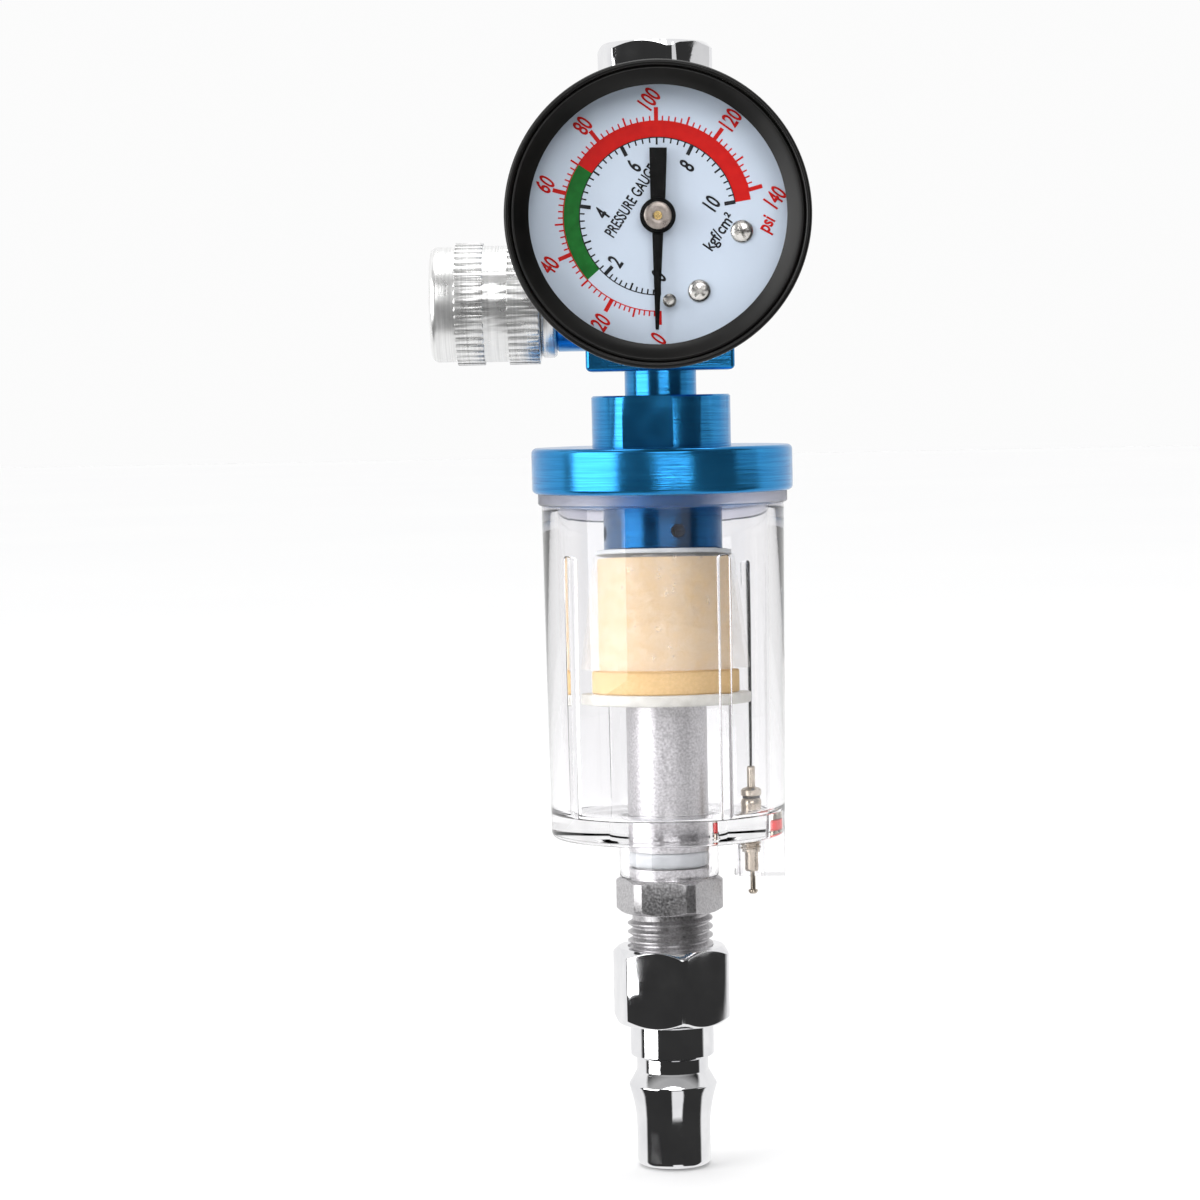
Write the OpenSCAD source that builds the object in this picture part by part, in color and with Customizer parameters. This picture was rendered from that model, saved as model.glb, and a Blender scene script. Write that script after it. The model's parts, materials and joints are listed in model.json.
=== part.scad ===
// In-line air regulator: swivel nut, regulator block with knob and pressure gauge,
// clear water trap with a sintered filter and a push-in drain, and a quick plug.
// Z runs along the air path and the plug is at the bottom. The gauge faces -Y and the
// knob points along -X. The origin is the mouth of the swivel nut. Sizes are millimetres.

/* [Swivel nut] */
// Width across the flats
nut_af = 16; // [15.5:0.5:17]
// Length of the nut
nut_len = 14; // [13.5:0.5:15]
// Radius of the wall of the threaded hole, G1/4
nut_thread_r = 5.75; // [5.7:0.01:5.8]
// Depth of the threaded hole
nut_thread_len = 7; // [6:0.5:7]
// Turn of the nut at rest, degrees
nut_turn = -16.5; // [-30:0.5:30]

/* [Regulator block] */
// Width of the block along X
block_w = 22.4; // [22:0.2:23]
// Depth of the block along Y
block_d = 22; // [21.6:0.2:23]
// Height of the block
block_h = 33.5; // [33:0.5:35]
// Gap under the nut, where the tail shows
block_gap = 2.2; // [1.5:0.1:3]
// Gauge axis below the top of the block
gauge_drop = 11.8; // [11.5:0.1:12.2]
// Knob axis below the top of the block
knob_drop = 22.8; // [22.5:0.1:23]
// Radius of the arm that carries the gland
arm_r = 7.5; // [7.2:0.1:8]
// Length of the arm
arm_len = 4.5; // [4:0.1:5]
// Radius of the threaded neck under the block
neck_r = 5.5; // [5.3:0.1:5.8]

/* [Knob] */
// Radius over the knurl
knob_r = 9.35; // [9.2:0.05:9.8]
// Length of the knob
knob_len = 16.75; // [16:0.25:17]
// Number of knurl teeth
knurl_count = 44; // [36:1:48]
// Radius of the gland collar behind the knob
gland_r = 8.4; // [8:0.1:9]
// Travel of the throttle piston
throttle_travel = 3.5; // [2.5:0.5:3.5]

/* [Gauge] */
// Radius of the bezel
gauge_r = 21.65; // [21.4:0.05:22.2]
// Depth of the gauge from case back to bezel front
gauge_depth = 25; // [24.5:0.5:26]
// Gap between the block and the case back
gauge_stand = 9; // [8.5:0.5:10]
// Radius of the window in the bezel
window_r = 18.2; // [17.8:0.1:18.4]

/* [Filter] */
// Radius of the cap flange
cap_r = 20; // [19.8:0.1:20.5]
// Height of the cap flange
cap_h = 7; // [6.5:0.5:8]
// Radius of the cap collar
collar_r = 10.65; // [10.4:0.05:11]
// Width across the two wrench flats of the collar
collar_af = 19.8; // [19:0.1:20.4]
// Height of the collar
collar_h = 7.8; // [7.5:0.1:8.5]
// Neck that shows between block and collar
neck_gap = 3.7; // [3:0.1:4.5]
// Outer radius of the bowl at its top
bowl_top_r = 18.6; // [18.4:0.1:18.8]
// Outer radius of the bowl at its foot
bowl_foot_r = 18; // [17.8:0.1:18.2]
// Inner radius of the bowl at its foot
bowl_inner_r = 15.8; // [15.5:0.1:16]
// Height of the bowl from cap to foot
bowl_h = 52.8; // [52.8:0.2:56]
// Thickness of the bowl's base
base_t = 3.6; // [3.4:0.1:4]
// Length of the neck under the bowl
bowl_neck_len = 6.4; // [6.4:0.1:7]
// Radius of the sintered element
element_r = 10.2; // [9.8:0.1:10.2]

/* [Tie tube and drain] */
// Radius of the tie tube
tube_r = 6.2; // [6:0.05:6.3]
// Width across the flats of the tube's hexagon
tube_af = 15; // [14.6:0.1:15.5]
// Thread that shows above the plug
thread_gap = 5.5; // [5:0.5:6.5]
// Distance from the axis to the drain valve
drain_x = 12.9; // [12.6:0.1:13.2]
// Travel of the drain pin
drain_travel = 1.2; // [0.8:0.1:1.4]

/* [Quick plug] */
// Width across the flats
plug_af = 16.5; // [16:0.5:17]
// Length of the plug's hexagon
plug_hex_len = 11.9; // [11.5:0.1:13]
// Radius of the plug's tip
plug_tip_r = 5.65; // [5.5:0.05:5.7]
// Length of the straight part of the tip
plug_tip_len = 4.6; // [4:0.1:6]

/* [Hidden] */
$fn = 72;
fit = 0.05;                      // radial clearance of running fits
air_r = 3.75;                    // air bore of tube and plug
g_thread_r = 6.58;               // male G1/4 thread
eighth_r = 4.86;                 // G1/8 thread, on the tail and on the gauge

// Levels down the air path
z_lip = -nut_len + 2.5;          // top of the nut's inner lip
z_block = -nut_len - block_gap;
z_block_foot = z_block - block_h;
z_gauge = z_block - gauge_drop;
z_knob = z_block - knob_drop;
z_collar = z_block_foot - neck_gap;
z_flange = z_collar - collar_h;
z_cap_foot = z_flange - cap_h;
z_boss = z_cap_foot - 7.5;
z_neck_foot = z_flange + 0.6;    // end of the block's neck inside the cap
z_seat = z_boss - 24.3;          // shoulder of the tube under the filter
z_bowl_foot = z_cap_foot - bowl_h;
z_floor = z_bowl_foot + base_t;
z_hex = z_bowl_foot - bowl_neck_len;
z_hex_foot = z_hex - 5.4;
z_plug = z_hex_foot - thread_gap;
z_thread_end = z_plug - 8.7;
z_plug_hex = z_plug - plug_hex_len;
z_tip = z_plug_hex - 16.7 - plug_tip_len;
z_foot = z_tip - 0.8;

// Distances along the knob axis, from the air path outwards
arm_end = block_w / 2 + arm_len;
gland_in = arm_end - 3.8;
gland_out = arm_end + 2.25;
knob_in = gland_out + 0.1;
knob_out = knob_in + knob_len;
piston_face = 2.65;
piston_back = gland_in - throttle_travel - 0.15;
piston_r = 4.4;
spindle_r = 3;

// Distances along the gauge axis, from the air path outwards
block_face = block_d / 2;
case_back = block_face + gauge_stand;
bezel_front = case_back + gauge_depth;
case_front = bezel_front - 1.8;
lens_back = case_front - 1.3;
dial_front = bezel_front - 7;
dial_back = dial_front - 0.5;
back_plate = case_back + 7.2;
front_plate = back_plate + 4;
plate_t = 0.8;
case_r = gauge_r - 1.05;
case_wall = 0.9;

// Gauge movement, seen from the front with the pointer's axis at the middle
tooth_module = 0.2;
pinion_teeth = 12;
sector_teeth = 96;
sector_first = -10;              // teeth cut on the sector, counted from the mesh
sector_last = 1;
mesh_dir = 106.1;                // direction from sector pivot to pinion
sector_dist = tooth_module * (pinion_teeth + sector_teeth) / 2;
sector_at = [-sector_dist * cos(mesh_dir), -sector_dist * sin(mesh_dir)];
tail_at = sector_at + 8 * [cos(-10), sin(-10)];
link_top = [13.7, 4.2];
bourdon_r = 15.5;
bourdon_start = 26;
bourdon_sweep = 238;
dial_screw_at = [[11.9, -2.4], [5.7, -10.7]];
pillar_at = [[-4.6, 4.8], [9.2, -2], [-2.6, -11.4]];
plate_screw_at = [[6.4, -6], [-3.5, -7.6]];
case_screw_at = [[-8.2, 0], [8.2, 0]];
stop_at = [1.45, -12];

// Shared shapes

function arc_points(at, r, from, to, steps) =
    [for (i = [0:steps]) let (a = from + (to - from) * i / steps)
        at + r * [cos(a), sin(a)]];

module rod(r, top, foot) translate([0, 0, foot]) cylinder(h = top - foot, r = r);

module ring(r_out, r_in, top, foot)
    difference() {
        rod(r_out, top, foot);
        rod(r_in, top + 1, foot - 1);
    }

// A hexagon bar with its corners turned off at both ends; flat faces -Y when turn is 0
module hex_bar(af, top, length, turn, corner) {
    flat = af / 2 - 0.15;
    drop = (corner - flat) * tan(30);
    intersection() {
        translate([0, 0, top - length]) rotate([0, 0, turn])
            cylinder(h = length, r = af / sqrt(3), $fn = 6);
        rotate_extrude() polygon([[0, top], [flat, top], [corner, top - drop],
            [corner, top - length + drop], [flat, top - length], [0, top - length]]);
    }
}

// A flat bar with round ends between two points, lying in the XY plane
module round_bar(from, to, width, low, high) {
    run = to - from;
    for (end = [from, to])
        translate([end[0], end[1], low]) cylinder(h = high - low, r = width / 2, $fn = 32);
    translate([from[0], from[1], low]) rotate([0, 0, atan2(run[1], run[0])])
        translate([0, -width / 2, 0]) cube([norm(run), width, high - low]);
}

// The local Z axis points out of the gauge's face, and local Y points up
module on_gauge_axis() translate([0, 0, z_gauge]) rotate([90, 0, 0]) children();

// The local Z axis points out of the knob's end, and local X points up
module on_knob_axis() translate([0, 0, z_knob]) rotate([0, -90, 0]) children();

module on_drain_axis() translate([drain_x, 0, 0]) children();

// Swivel nut and tail

module swivel_nut()
    color("silver") difference() {
        hex_bar(nut_af, 0, nut_len, nut_turn, nut_af / sqrt(3) + 0.05);
        rod(nut_thread_r, 1, -nut_thread_len);
        rod(6, -nut_thread_len + 0.5, z_lip);
        rod(5, z_lip + 1, -nut_len - 1);
    }

module swivel_tail() {
    flange_foot = z_lip + fit;
    flange_top = flange_foot + 1.9;
    color("gainsboro") rotate_extrude() polygon([
        [2.5, flange_top + 2.2], [3.7, flange_top + 2.2], [4.2, flange_top + 1.7],
        [4.2, flange_top], [5.6, flange_top], [5.6, flange_foot], [5 - fit, flange_foot],
        [5 - fit, z_block], [eighth_r, z_block], [eighth_r, z_block - 5.8],
        [2.5, z_block - 5.8]]);
}

module tail_washer()
    color("white") ring(5.5, 4.2, z_lip + fit + 2.8, z_lip + fit + 1.9);

// Regulator block and throttle

module chamfered_block() {
    edge = 0.6;
    x = block_w / 2;
    y = block_d / 2;
    translate([0, 0, z_block_foot]) linear_extrude(block_h) polygon([
        [-x + edge, -y], [x - edge, -y], [x, -y + edge], [x, y - edge],
        [x - edge, y], [-x + edge, y], [-x, y - edge], [-x, -y + edge]]);
}

module regulator_body()
    color([0.03, 0.42, 0.68]) difference() {
        union() {
            chamfered_block();
            on_knob_axis() rod(arm_r, arm_end, block_w / 2 - 1);
            rod(neck_r, z_block_foot + 1, z_neck_foot);
        }
        rod(eighth_r, z_block + 1, z_block - 6.2);       // tail thread
        rod(2.5, z_block - 5, z_knob);                   // outlet passage
        translate([-4, 0, 0]) rod(1.1, z_knob, z_neck_foot - 1);   // inlet passage
        on_knob_axis() {
            rod(6, arm_end + 1, gland_in);
            rod(piston_r + fit, gland_in + 1, piston_face - 0.05);
            rod(3.6, piston_face + 1, 1.2);
            rod(1.8, 2, 0);
        }
        on_gauge_axis() {
            rod(eighth_r, block_face + 1, block_face - 5.6);
            rod(1.5, block_face - 5, 0);
        }
    }

module valve_seat()
    color("white") on_knob_axis() ring(3.6, 1.8, piston_face - 0.05, 1.2);

module throttle_piston()
    color("silver") on_knob_axis() rotate_extrude() polygon([
        [0, piston_face], [2.8, piston_face], [2.8, piston_face + 2.35],
        [piston_r, piston_face + 2.35], [piston_r, piston_face + 3.45],
        [3.3, piston_face + 3.45], [3.3, piston_face + 5.15],
        [piston_r, piston_face + 5.15], [piston_r, piston_back],
        [2 + fit, piston_back], [2 + fit, piston_back - 2.2], [0, piston_back - 2.2]]);

module piston_o_ring()
    color("dimgray") on_knob_axis() rotate_extrude()
        translate([3.85, piston_face + 4.3]) circle(r = 0.55, $fn = 24);

module gland()
    color("silver") on_knob_axis() difference() {
        union() {
            rod(6, arm_end + 0.5, gland_in);
            rotate_extrude() polygon([[0, arm_end], [gland_r - 0.3, arm_end],
                [gland_r, arm_end + 0.3], [gland_r, gland_out - 0.3],
                [gland_r - 0.3, gland_out], [0, gland_out]]);
        }
        rod(spindle_r + fit, gland_out + 1, gland_in - 1);
    }

module valve_spindle()
    color("gainsboro") on_knob_axis() difference() {
        rotate_extrude() polygon([[0, piston_back - 2.1], [2, piston_back - 2.1],
            [2, piston_back + fit], [spindle_r, piston_back + fit],
            [spindle_r, knob_in + 5], [2.5, knob_in + 5], [2.5, knob_out - 3.3],
            [0, knob_out - 3.3]]);
        rod(1.5, knob_out, knob_out - 9.5);
    }

// A toothed disc, one straight knurl tooth per step
module knurl(r_crest, r_root, low, high)
    translate([0, 0, low]) linear_extrude(high - low)
        polygon([for (i = [0:2 * knurl_count - 1])
            let (r = i % 2 == 0 ? r_crest : r_root, a = 180 * i / knurl_count)
            r * [cos(a), sin(a)]]);

module knob() {
    root = knob_r - 0.4;
    band = knob_in + 5;
    groove = band + 3.6;
    cap = groove + 4.2;
    color("silver") on_knob_axis() difference() {
        union() {
            rotate_extrude() polygon(concat(
                [[0, knob_in], [root - 0.2, knob_in], [root - 0.2, knob_out - 1]],
                arc_points([root - 1.2, knob_out - 1], 1, 0, 90, 5), [[0, knob_out]]));
            knurl(knob_r, root, knob_in + 0.3, band);
            knurl(knob_r, root, groove, cap);
        }
        rod(spindle_r, knob_in + 5, knob_in - 1);
        rod(2.5, knob_out - 3, knob_in + 4);
        rod(3, knob_out + 1, knob_out - 3.1);
    }
}

module knob_screw()
    color("darkgray") on_knob_axis() difference() {
        union() {
            rod(3, knob_out + 0.3, knob_out - 3.1);
            rod(1.5, knob_out - 3, knob_out - 9);
        }
        translate([0, 0, knob_out - 1.6]) cylinder(h = 3, r = 2.5 / sqrt(3), $fn = 6);
    }

// Gauge housing

module gauge_washer()
    color("sienna") on_gauge_axis() ring(7, eighth_r, block_face + 0.8, block_face);

module gauge_socket()
    color("goldenrod") on_gauge_axis() difference() {
        union() {
            rod(eighth_r, case_back, block_face - 5.4);
            translate([-6, -6, block_face + 0.8]) cube([12, 12, gauge_stand - 0.8]);
            rod(5, case_back + 1, case_back - 1);
            rod(10, back_plate, case_back + 0.8);
            translate([-3.5, -14, case_back + 2]) cube([7, 10, 5]);
            translate([-3.5, -17.2, case_back + 2]) cube([7, 3.4, 7.5]);
        }
        rod(1.2, case_back + 3, block_face - 6);
        translate([0, -15.5, case_back + 4]) rotate([-90, 0, 0])
            cylinder(h = 16, r = 0.8, $fn = 24);
        bourdon_band(0.9, 2.4, bourdon_start, bourdon_sweep);
        for (at = case_screw_at) translate(at) rod(1, case_back + 5.2, case_back);
        for (at = plate_screw_at) translate(at) rod(0.8, back_plate + 1, back_plate - 3.2);
    }

module gauge_case()
    color([0.06, 0.06, 0.07]) on_gauge_axis() difference() {
        rotate_extrude() polygon([[0, case_back], [case_r - 0.8, case_back],
            [case_r, case_back + 0.8], [case_r, case_front], [0, case_front]]);
        rod(case_r - case_wall, case_front + 1, case_back + 0.8);
        rod(5, case_back + 2, case_back - 1);
        for (at = case_screw_at) translate(at) rod(1, case_back + 2, case_back - 1);
    }

module case_screws()
    color("silver") on_gauge_axis() for (at = case_screw_at) translate(at) {
        rod(1.5, case_back, case_back - 0.9);
        rod(1, case_back + 5, case_back - 0.5);
    }

// A bent flat band with a half thickness and half width, on the Bourdon tube's curve
module bourdon_band(half_t, half_w, start, sweep)
    rotate([0, 0, start]) rotate_extrude(angle = sweep)
        translate([bourdon_r - half_t, case_back + 6.8 - half_w])
            square([2 * half_t, 2 * half_w]);

module bourdon_tube()
    color("goldenrod") on_gauge_axis() difference() {
        bourdon_band(0.9, 2.4, bourdon_start, bourdon_sweep);
        bourdon_band(0.5, 2, bourdon_start - 1, bourdon_sweep + 2);
    }

module bourdon_tip()
    color("goldenrod") on_gauge_axis() difference() {
        union() {
            bourdon_band(1.1, 2.5, bourdon_start - 4, 4);
            round_bar(link_top, [14.5, 5.5], 2.4, case_back + 8.2, case_back + 9.3);
        }
        translate(link_top) rod(0.55, case_back + 10, case_back + 7);
    }

// Gauge movement

module movement_plate(low) {
    outline = [[-6, 6.6], [4, 6.6], [13.8, 0.6], [13.8, -5], [8.5, -13.4], [0, -13.4],
        [-5, -12.4], [-6, -9]];
    translate([0, 0, low]) linear_extrude(plate_t) polygon(outline);
}

module movement_back_plate()
    color("gold") on_gauge_axis() difference() {
        movement_plate(back_plate);
        rod(0.6 + fit, back_plate + 2, back_plate - 1);
        translate(sector_at) rod(0.6 + fit, back_plate + 2, back_plate - 1);
        for (at = plate_screw_at) translate(at) rod(0.8, back_plate + 2, back_plate - 1);
    }

module movement_front_plate()
    color("gold") on_gauge_axis() difference() {
        movement_plate(front_plate);
        rod(0.6 + fit, front_plate + 2, front_plate - 1);
        translate(sector_at) rod(0.6 + fit, front_plate + 2, front_plate - 1);
    }

module movement_pillars()
    color("gold") on_gauge_axis() for (at = pillar_at)
        translate(at) rod(1.2, front_plate, back_plate + plate_t);

module movement_screws()
    color("silver") on_gauge_axis() for (at = plate_screw_at) translate(at) {
        rod(1.3, back_plate + plate_t + 0.7, back_plate + plate_t);
        rod(0.8, back_plate + plate_t + 0.5, back_plate - 3);
    }

// A flat spiral from the pinion out to the first pillar
module hairspring() {
    turns = 3.5;
    steps = 84;
    inner = 1.5;
    outer = norm(pillar_at[0]) - 1.3;
    last = atan2(pillar_at[0][1], pillar_at[0][0]);
    function coil(i, side) =
        let (r = inner + (outer - inner) * i / steps + side * 0.09,
            a = last - 360 * turns * (1 - i / steps))
        r * [cos(a), sin(a)];
    color("orange") on_gauge_axis() translate([0, 0, back_plate + plate_t + 0.3])
        linear_extrude(0.5) polygon(concat([for (i = [0:steps]) coil(i, 1)],
            [for (i = [steps:-1:0]) coil(i, -1)]));
}

// Outline of gear teeth from first to last, centred on the turn angle
function tooth_points(teeth, first, last, turn) =
    let (pitch_r = tooth_module * teeth / 2, step = 360 / teeth,
        root = pitch_r - 1.25 * tooth_module, crest = pitch_r + 0.85 * tooth_module)
    [for (k = [first:last], p = [[-0.36, root], [-0.14, crest], [0.14, crest], [0.36, root]])
        p[1] * [cos(turn + (k + p[0]) * step), sin(turn + (k + p[0]) * step)]];

module pinion_shaft()
    color("gainsboro") on_gauge_axis() {
        rod(0.6, bezel_front - 4.2, back_plate + 0.1);
        translate([0, 0, back_plate + plate_t + 1.1]) linear_extrude(1) polygon(
            tooth_points(pinion_teeth, 0, pinion_teeth - 1, mesh_dir + 180 + 15));
    }

module sector_gear() {
    low = back_plate + plate_t + 1.25;
    color("gold") on_gauge_axis() difference() {
        union() {
            translate([sector_at[0], sector_at[1], low]) linear_extrude(0.7)
                polygon(concat([[0, 0]],
                    tooth_points(sector_teeth, sector_first, sector_last, mesh_dir)));
            translate(sector_at) rod(1.6, low + 0.7, low);
            translate(sector_at) rod(0.6, front_plate + plate_t - 0.1, back_plate + 0.1);
            round_bar(sector_at, tail_at, 2, low, low + 0.7);
        }
        translate(tail_at) rod(0.5 + fit, low + 1, low - 1);
    }
}

module link_rod() {
    low = back_plate + plate_t + 2.05;
    color("gold") on_gauge_axis() {
        round_bar(tail_at, link_top, 1.4, low, low + 0.6);
        translate(tail_at) rod(0.5, low + 0.3, low - 1.1);
    }
}

// Dial, pointer and window

module dial_posts()
    color("gold") on_gauge_axis() for (at = dial_screw_at) translate(at)
        ring(1.6, 0.8, dial_back, front_plate + plate_t);

module gauge_dial()
    color("aliceblue") on_gauge_axis() difference() {
        rod(case_r - case_wall - 0.1, dial_front, dial_back);
        rod(1, dial_front + 1, dial_back - 1);
        for (at = dial_screw_at) translate(at) rod(0.8, dial_front + 1, dial_back - 1);
        translate(stop_at) rod(0.5, dial_front + 1, dial_back - 1);
    }

module dial_screws()
    color("silver") on_gauge_axis() for (at = dial_screw_at) translate(at)
        difference() {
            union() {
                rod(1.65, dial_front + 0.7, dial_front);
                rod(0.8, dial_front + 0.5, dial_front - 4.5);
            }
            for (turn = [0, 90]) rotate([0, 0, turn])
                translate([-0.9, -0.2, dial_front + 0.3]) cube([1.8, 0.4, 1]);
        }

module zero_stop_pin()
    color("silver") on_gauge_axis() translate(stop_at) {
        rod(0.95, dial_front + 2.1, dial_front);
        rod(0.5, dial_front + 1, dial_back - 0.3);
    }

module pointer() {
    low = dial_front + 1.4;
    color([0.05, 0.05, 0.05]) on_gauge_axis() difference() {
        union() {
            translate([0, 0, low]) linear_extrude(0.3) polygon([[0.8, -2], [0.25, -16.1],
                [-0.25, -16.1], [-0.8, -2], [-1.05, 2], [-1.25, 9.6], [1.25, 9.6],
                [1.05, 2]]);
            rod(2.2, low + 0.3, low);
        }
        rod(1, low + 1, low - 1);
    }
}

module pointer_hub() {
    sheet = dial_front + 1.4;
    color([0.05, 0.05, 0.05]) on_gauge_axis() rotate_extrude() polygon([
        [0.6, sheet - 0.9], [1.4, sheet - 0.9], [1.4, sheet], [1, sheet],
        [1, sheet + 0.3], [2.55, sheet + 0.3], [2.55, sheet + 0.9], [2, sheet + 1.4],
        [0.6, sheet + 1.4]]);
}

module lens_gasket()
    color("dimgray") on_gauge_axis()
        ring(case_r - case_wall, window_r + 0.4, lens_back, lens_back - 0.8);

module gauge_lens()
    color([0.9, 0.95, 1, 0.4]) on_gauge_axis()
        rod(case_r - case_wall, case_front, lens_back);

module gauge_bezel()
    color([0.08, 0.08, 0.09]) on_gauge_axis() rotate_extrude() polygon([
        [case_r, case_front - 2.6], [gauge_r - 0.3, case_front - 2.6],
        [gauge_r, case_front - 2.3], [gauge_r, bezel_front - 0.4],
        [gauge_r - 0.4, bezel_front], [gauge_r - 0.85, bezel_front],
        [window_r, bezel_front - 1.1], [window_r, case_front], [case_r, case_front]]);

// Filter cap, bowl and what is inside

module filter_cap() {
    round_r = 0.8;
    seal_r = bowl_inner_r + 1.6;
    color([0.03, 0.42, 0.68]) difference() {
        union() {
            intersection() {
                rod(collar_r, z_collar, z_flange - 1);
                rotate([0, 0, -12]) translate([-15, -collar_af / 2, z_flange - 2])
                    cube([30, collar_af, collar_h + 3]);
            }
            rotate_extrude() polygon(concat([[0, z_flange]],
                arc_points([cap_r - round_r, z_flange - round_r], round_r, 90, 0, 4),
                arc_points([cap_r - round_r, z_cap_foot + round_r], round_r, 0, -90, 4),
                [[0, z_cap_foot]]));
            rod(9.15, z_cap_foot + 1, z_boss);
        }
        ring(bowl_top_r + 0.55, 15.5, z_cap_foot + 0.6, z_cap_foot - 1);   // bowl recess
        ring(seal_r + 0.8, seal_r - 0.8, z_cap_foot + 1.7, z_cap_foot);    // seal groove
        rod(neck_r, z_collar + 1, z_neck_foot - 1.2);
        rod(3, z_collar, z_boss - 1);
        for (k = [0:3]) rotate([0, 0, -76 + 90 * k]) {
            translate([4.3, 0, 0]) rod(1, z_neck_foot, z_boss + 1.7);
            translate([4.3, 0, z_boss + 2.7]) rotate([0, 90, 0])
                cylinder(h = 6, r = 1, $fn = 32);
        }
    }
}

module cap_o_ring()
    color("dimgray") ring(bowl_inner_r + 2.3, bowl_inner_r + 0.9,
        z_cap_foot + 1.7, z_cap_foot + 0.6);

module bowl() {
    rim_r = bowl_top_r + 0.5;
    top = z_cap_foot + 0.6;
    rim_foot = z_cap_foot - 1.75;
    rib_top = z_boss - 2.4;
    color([0.85, 0.9, 0.95, 0.35]) difference() {
        union() {
            rotate_extrude() polygon([[bowl_inner_r + 0.5, top], [rim_r, top],
                [rim_r, rim_foot], [bowl_top_r, rim_foot], [bowl_foot_r, z_bowl_foot + 0.6],
                [bowl_foot_r - 0.6, z_bowl_foot], [7.65, z_bowl_foot], [7.65, z_hex],
                [tube_r + fit, z_hex], [tube_r + fit, z_floor],
                [bowl_inner_r - 1, z_floor], [bowl_inner_r, z_floor + 1]]);
            for (k = [0:3]) rotate([0, 0, -57.4 + 90 * k])
                translate([bowl_inner_r - 1, 0, 0]) {
                    translate([0, -1, z_floor - 0.5])
                        cube([1.6, 2, rib_top - z_floor + 0.5]);
                    translate([0, 0, rib_top]) rotate([0, 90, 0])
                        cylinder(h = 1.6, r = 1, $fn = 32);
                }
            intersection() {
                rod(bowl_foot_r - 0.6, z_bowl_foot + 1, z_hex - 0.1);
                union() {
                    on_drain_axis() rod(2.9, z_bowl_foot + 1, z_hex - 0.1);
                    translate([drain_x, -2.9, z_hex - 0.1]) cube([8, 5.8, bowl_neck_len + 1]);
                }
            }
        }
        on_drain_axis() {
            rod(1.8, z_floor + 1, z_floor - 1.1);
            rod(1.9, z_floor - 1, z_bowl_foot - 0.5);
            rod(1.95, z_bowl_foot - 0.4, z_hex - 1);
        }
    }
}

module filter_washer() color("white") ring(10.4, 3, z_boss, z_boss - 0.7);

module filter_shroud()
    color([0.9, 0.9, 0.88, 0.6]) rotate_extrude() polygon([
        [8, z_boss - 0.7], [10.8, z_boss - 0.7], [13, z_seat + 5.5],
        [12.4, z_seat + 5.5], [10.25, z_boss - 1.3], [8, z_boss - 1.3]]);

module filter_element()
    color("moccasin") rotate_extrude() polygon([[6.8, z_boss - 1.3],
        [element_r - 0.05, z_boss - 1.3], [element_r, z_boss - 3], [element_r, z_seat + 5.3],
        [11.3, z_seat + 5.3], [11.3, z_seat + 1.7], [6.8, z_seat + 1.7]]);

module baffle_disc()
    color("whitesmoke") ring(13.05, 5, z_seat + 1.7, z_seat);

module tie_tube()
    color("lightsteelblue") difference() {
        union() {
            rod(3, z_neck_foot - 5, z_boss - 1.5);
            rod(5, z_boss - 0.7, z_seat - 1);
            rod(tube_r, z_seat, z_hex - 1);
            hex_bar(tube_af, z_hex, z_hex - z_hex_foot, -7, 8.25);
            rod(g_thread_r, z_hex_foot + 1, z_thread_end);
        }
        rod(air_r, z_seat + 2, z_thread_end - 1);
        rod(2, z_boss - 6, z_seat);
        for (turn = [0, 90]) translate([0, 0, z_boss - 10]) rotate([0, 90, turn])
            translate([0, 0, -8]) cylinder(h = 16, r = 1, $fn = 32);
        ring(9, 5.2, z_hex + 4.2, z_hex + 1.6);          // seal groove
    }

module neck_seal() color("white") ring(tube_r, 5.2, z_hex + 4.2, z_hex + 1.6);

// Drain valve, opened by pushing its pin up

module drain_body()
    color("silver") on_drain_axis() difference() {
        rotate_extrude() polygon([[0, z_floor + 2], [1.55, z_floor + 2],
            [1.7, z_floor + 1.6], [1.7, z_floor - 1], [1.3, z_floor - 1.1],
            [1.3, z_floor - 2.8], [1.75, z_floor - 2.8], [1.75, z_bowl_foot - 0.7],
            [1.95, z_bowl_foot - 0.7], [1.95, z_bowl_foot - 2.9],
            [1.25, z_bowl_foot - 2.9], [1.25, z_bowl_foot - 5.9], [0, z_bowl_foot - 5.9]]);
        rod(0.6, z_floor + 3, z_floor);
        rod(1, z_floor + 1.2, z_bowl_foot - 3.5);
        rod(0.4 + fit, z_bowl_foot - 3, z_bowl_foot - 7);
    }

module drain_seal()
    color("crimson") on_drain_axis() ring(1.9, 1.3, z_floor - 1.1, z_floor - 2.8);

// One wire of the spring, swept along its helix
module drain_spring() {
    turns = 6;
    per_turn = 10;
    sides = 6;
    mean_r = 0.75;
    wire_r = 0.11;
    low = z_floor - 3.55 + wire_r;
    high = z_floor + 1.2 - wire_r;
    rings = turns * per_turn;
    points = [for (i = [0:rings], s = [0:sides - 1])
        let (a = 360 * i / per_turn, b = 360 * s / sides, r = mean_r + wire_r * cos(b))
        [r * cos(a), r * sin(a), low + (high - low) * i / rings + wire_r * sin(b)]];
    walls = [for (i = [0:rings - 1], s = [0:sides - 1])
        let (n = (s + 1) % sides)
        [i * sides + s, i * sides + n, (i + 1) * sides + n, (i + 1) * sides + s]];
    ends = [[for (s = [sides - 1:-1:0]) s], [for (s = [0:sides - 1]) rings * sides + s]];
    color("silver") on_drain_axis() polyhedron(points, concat(walls, ends));
}

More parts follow.
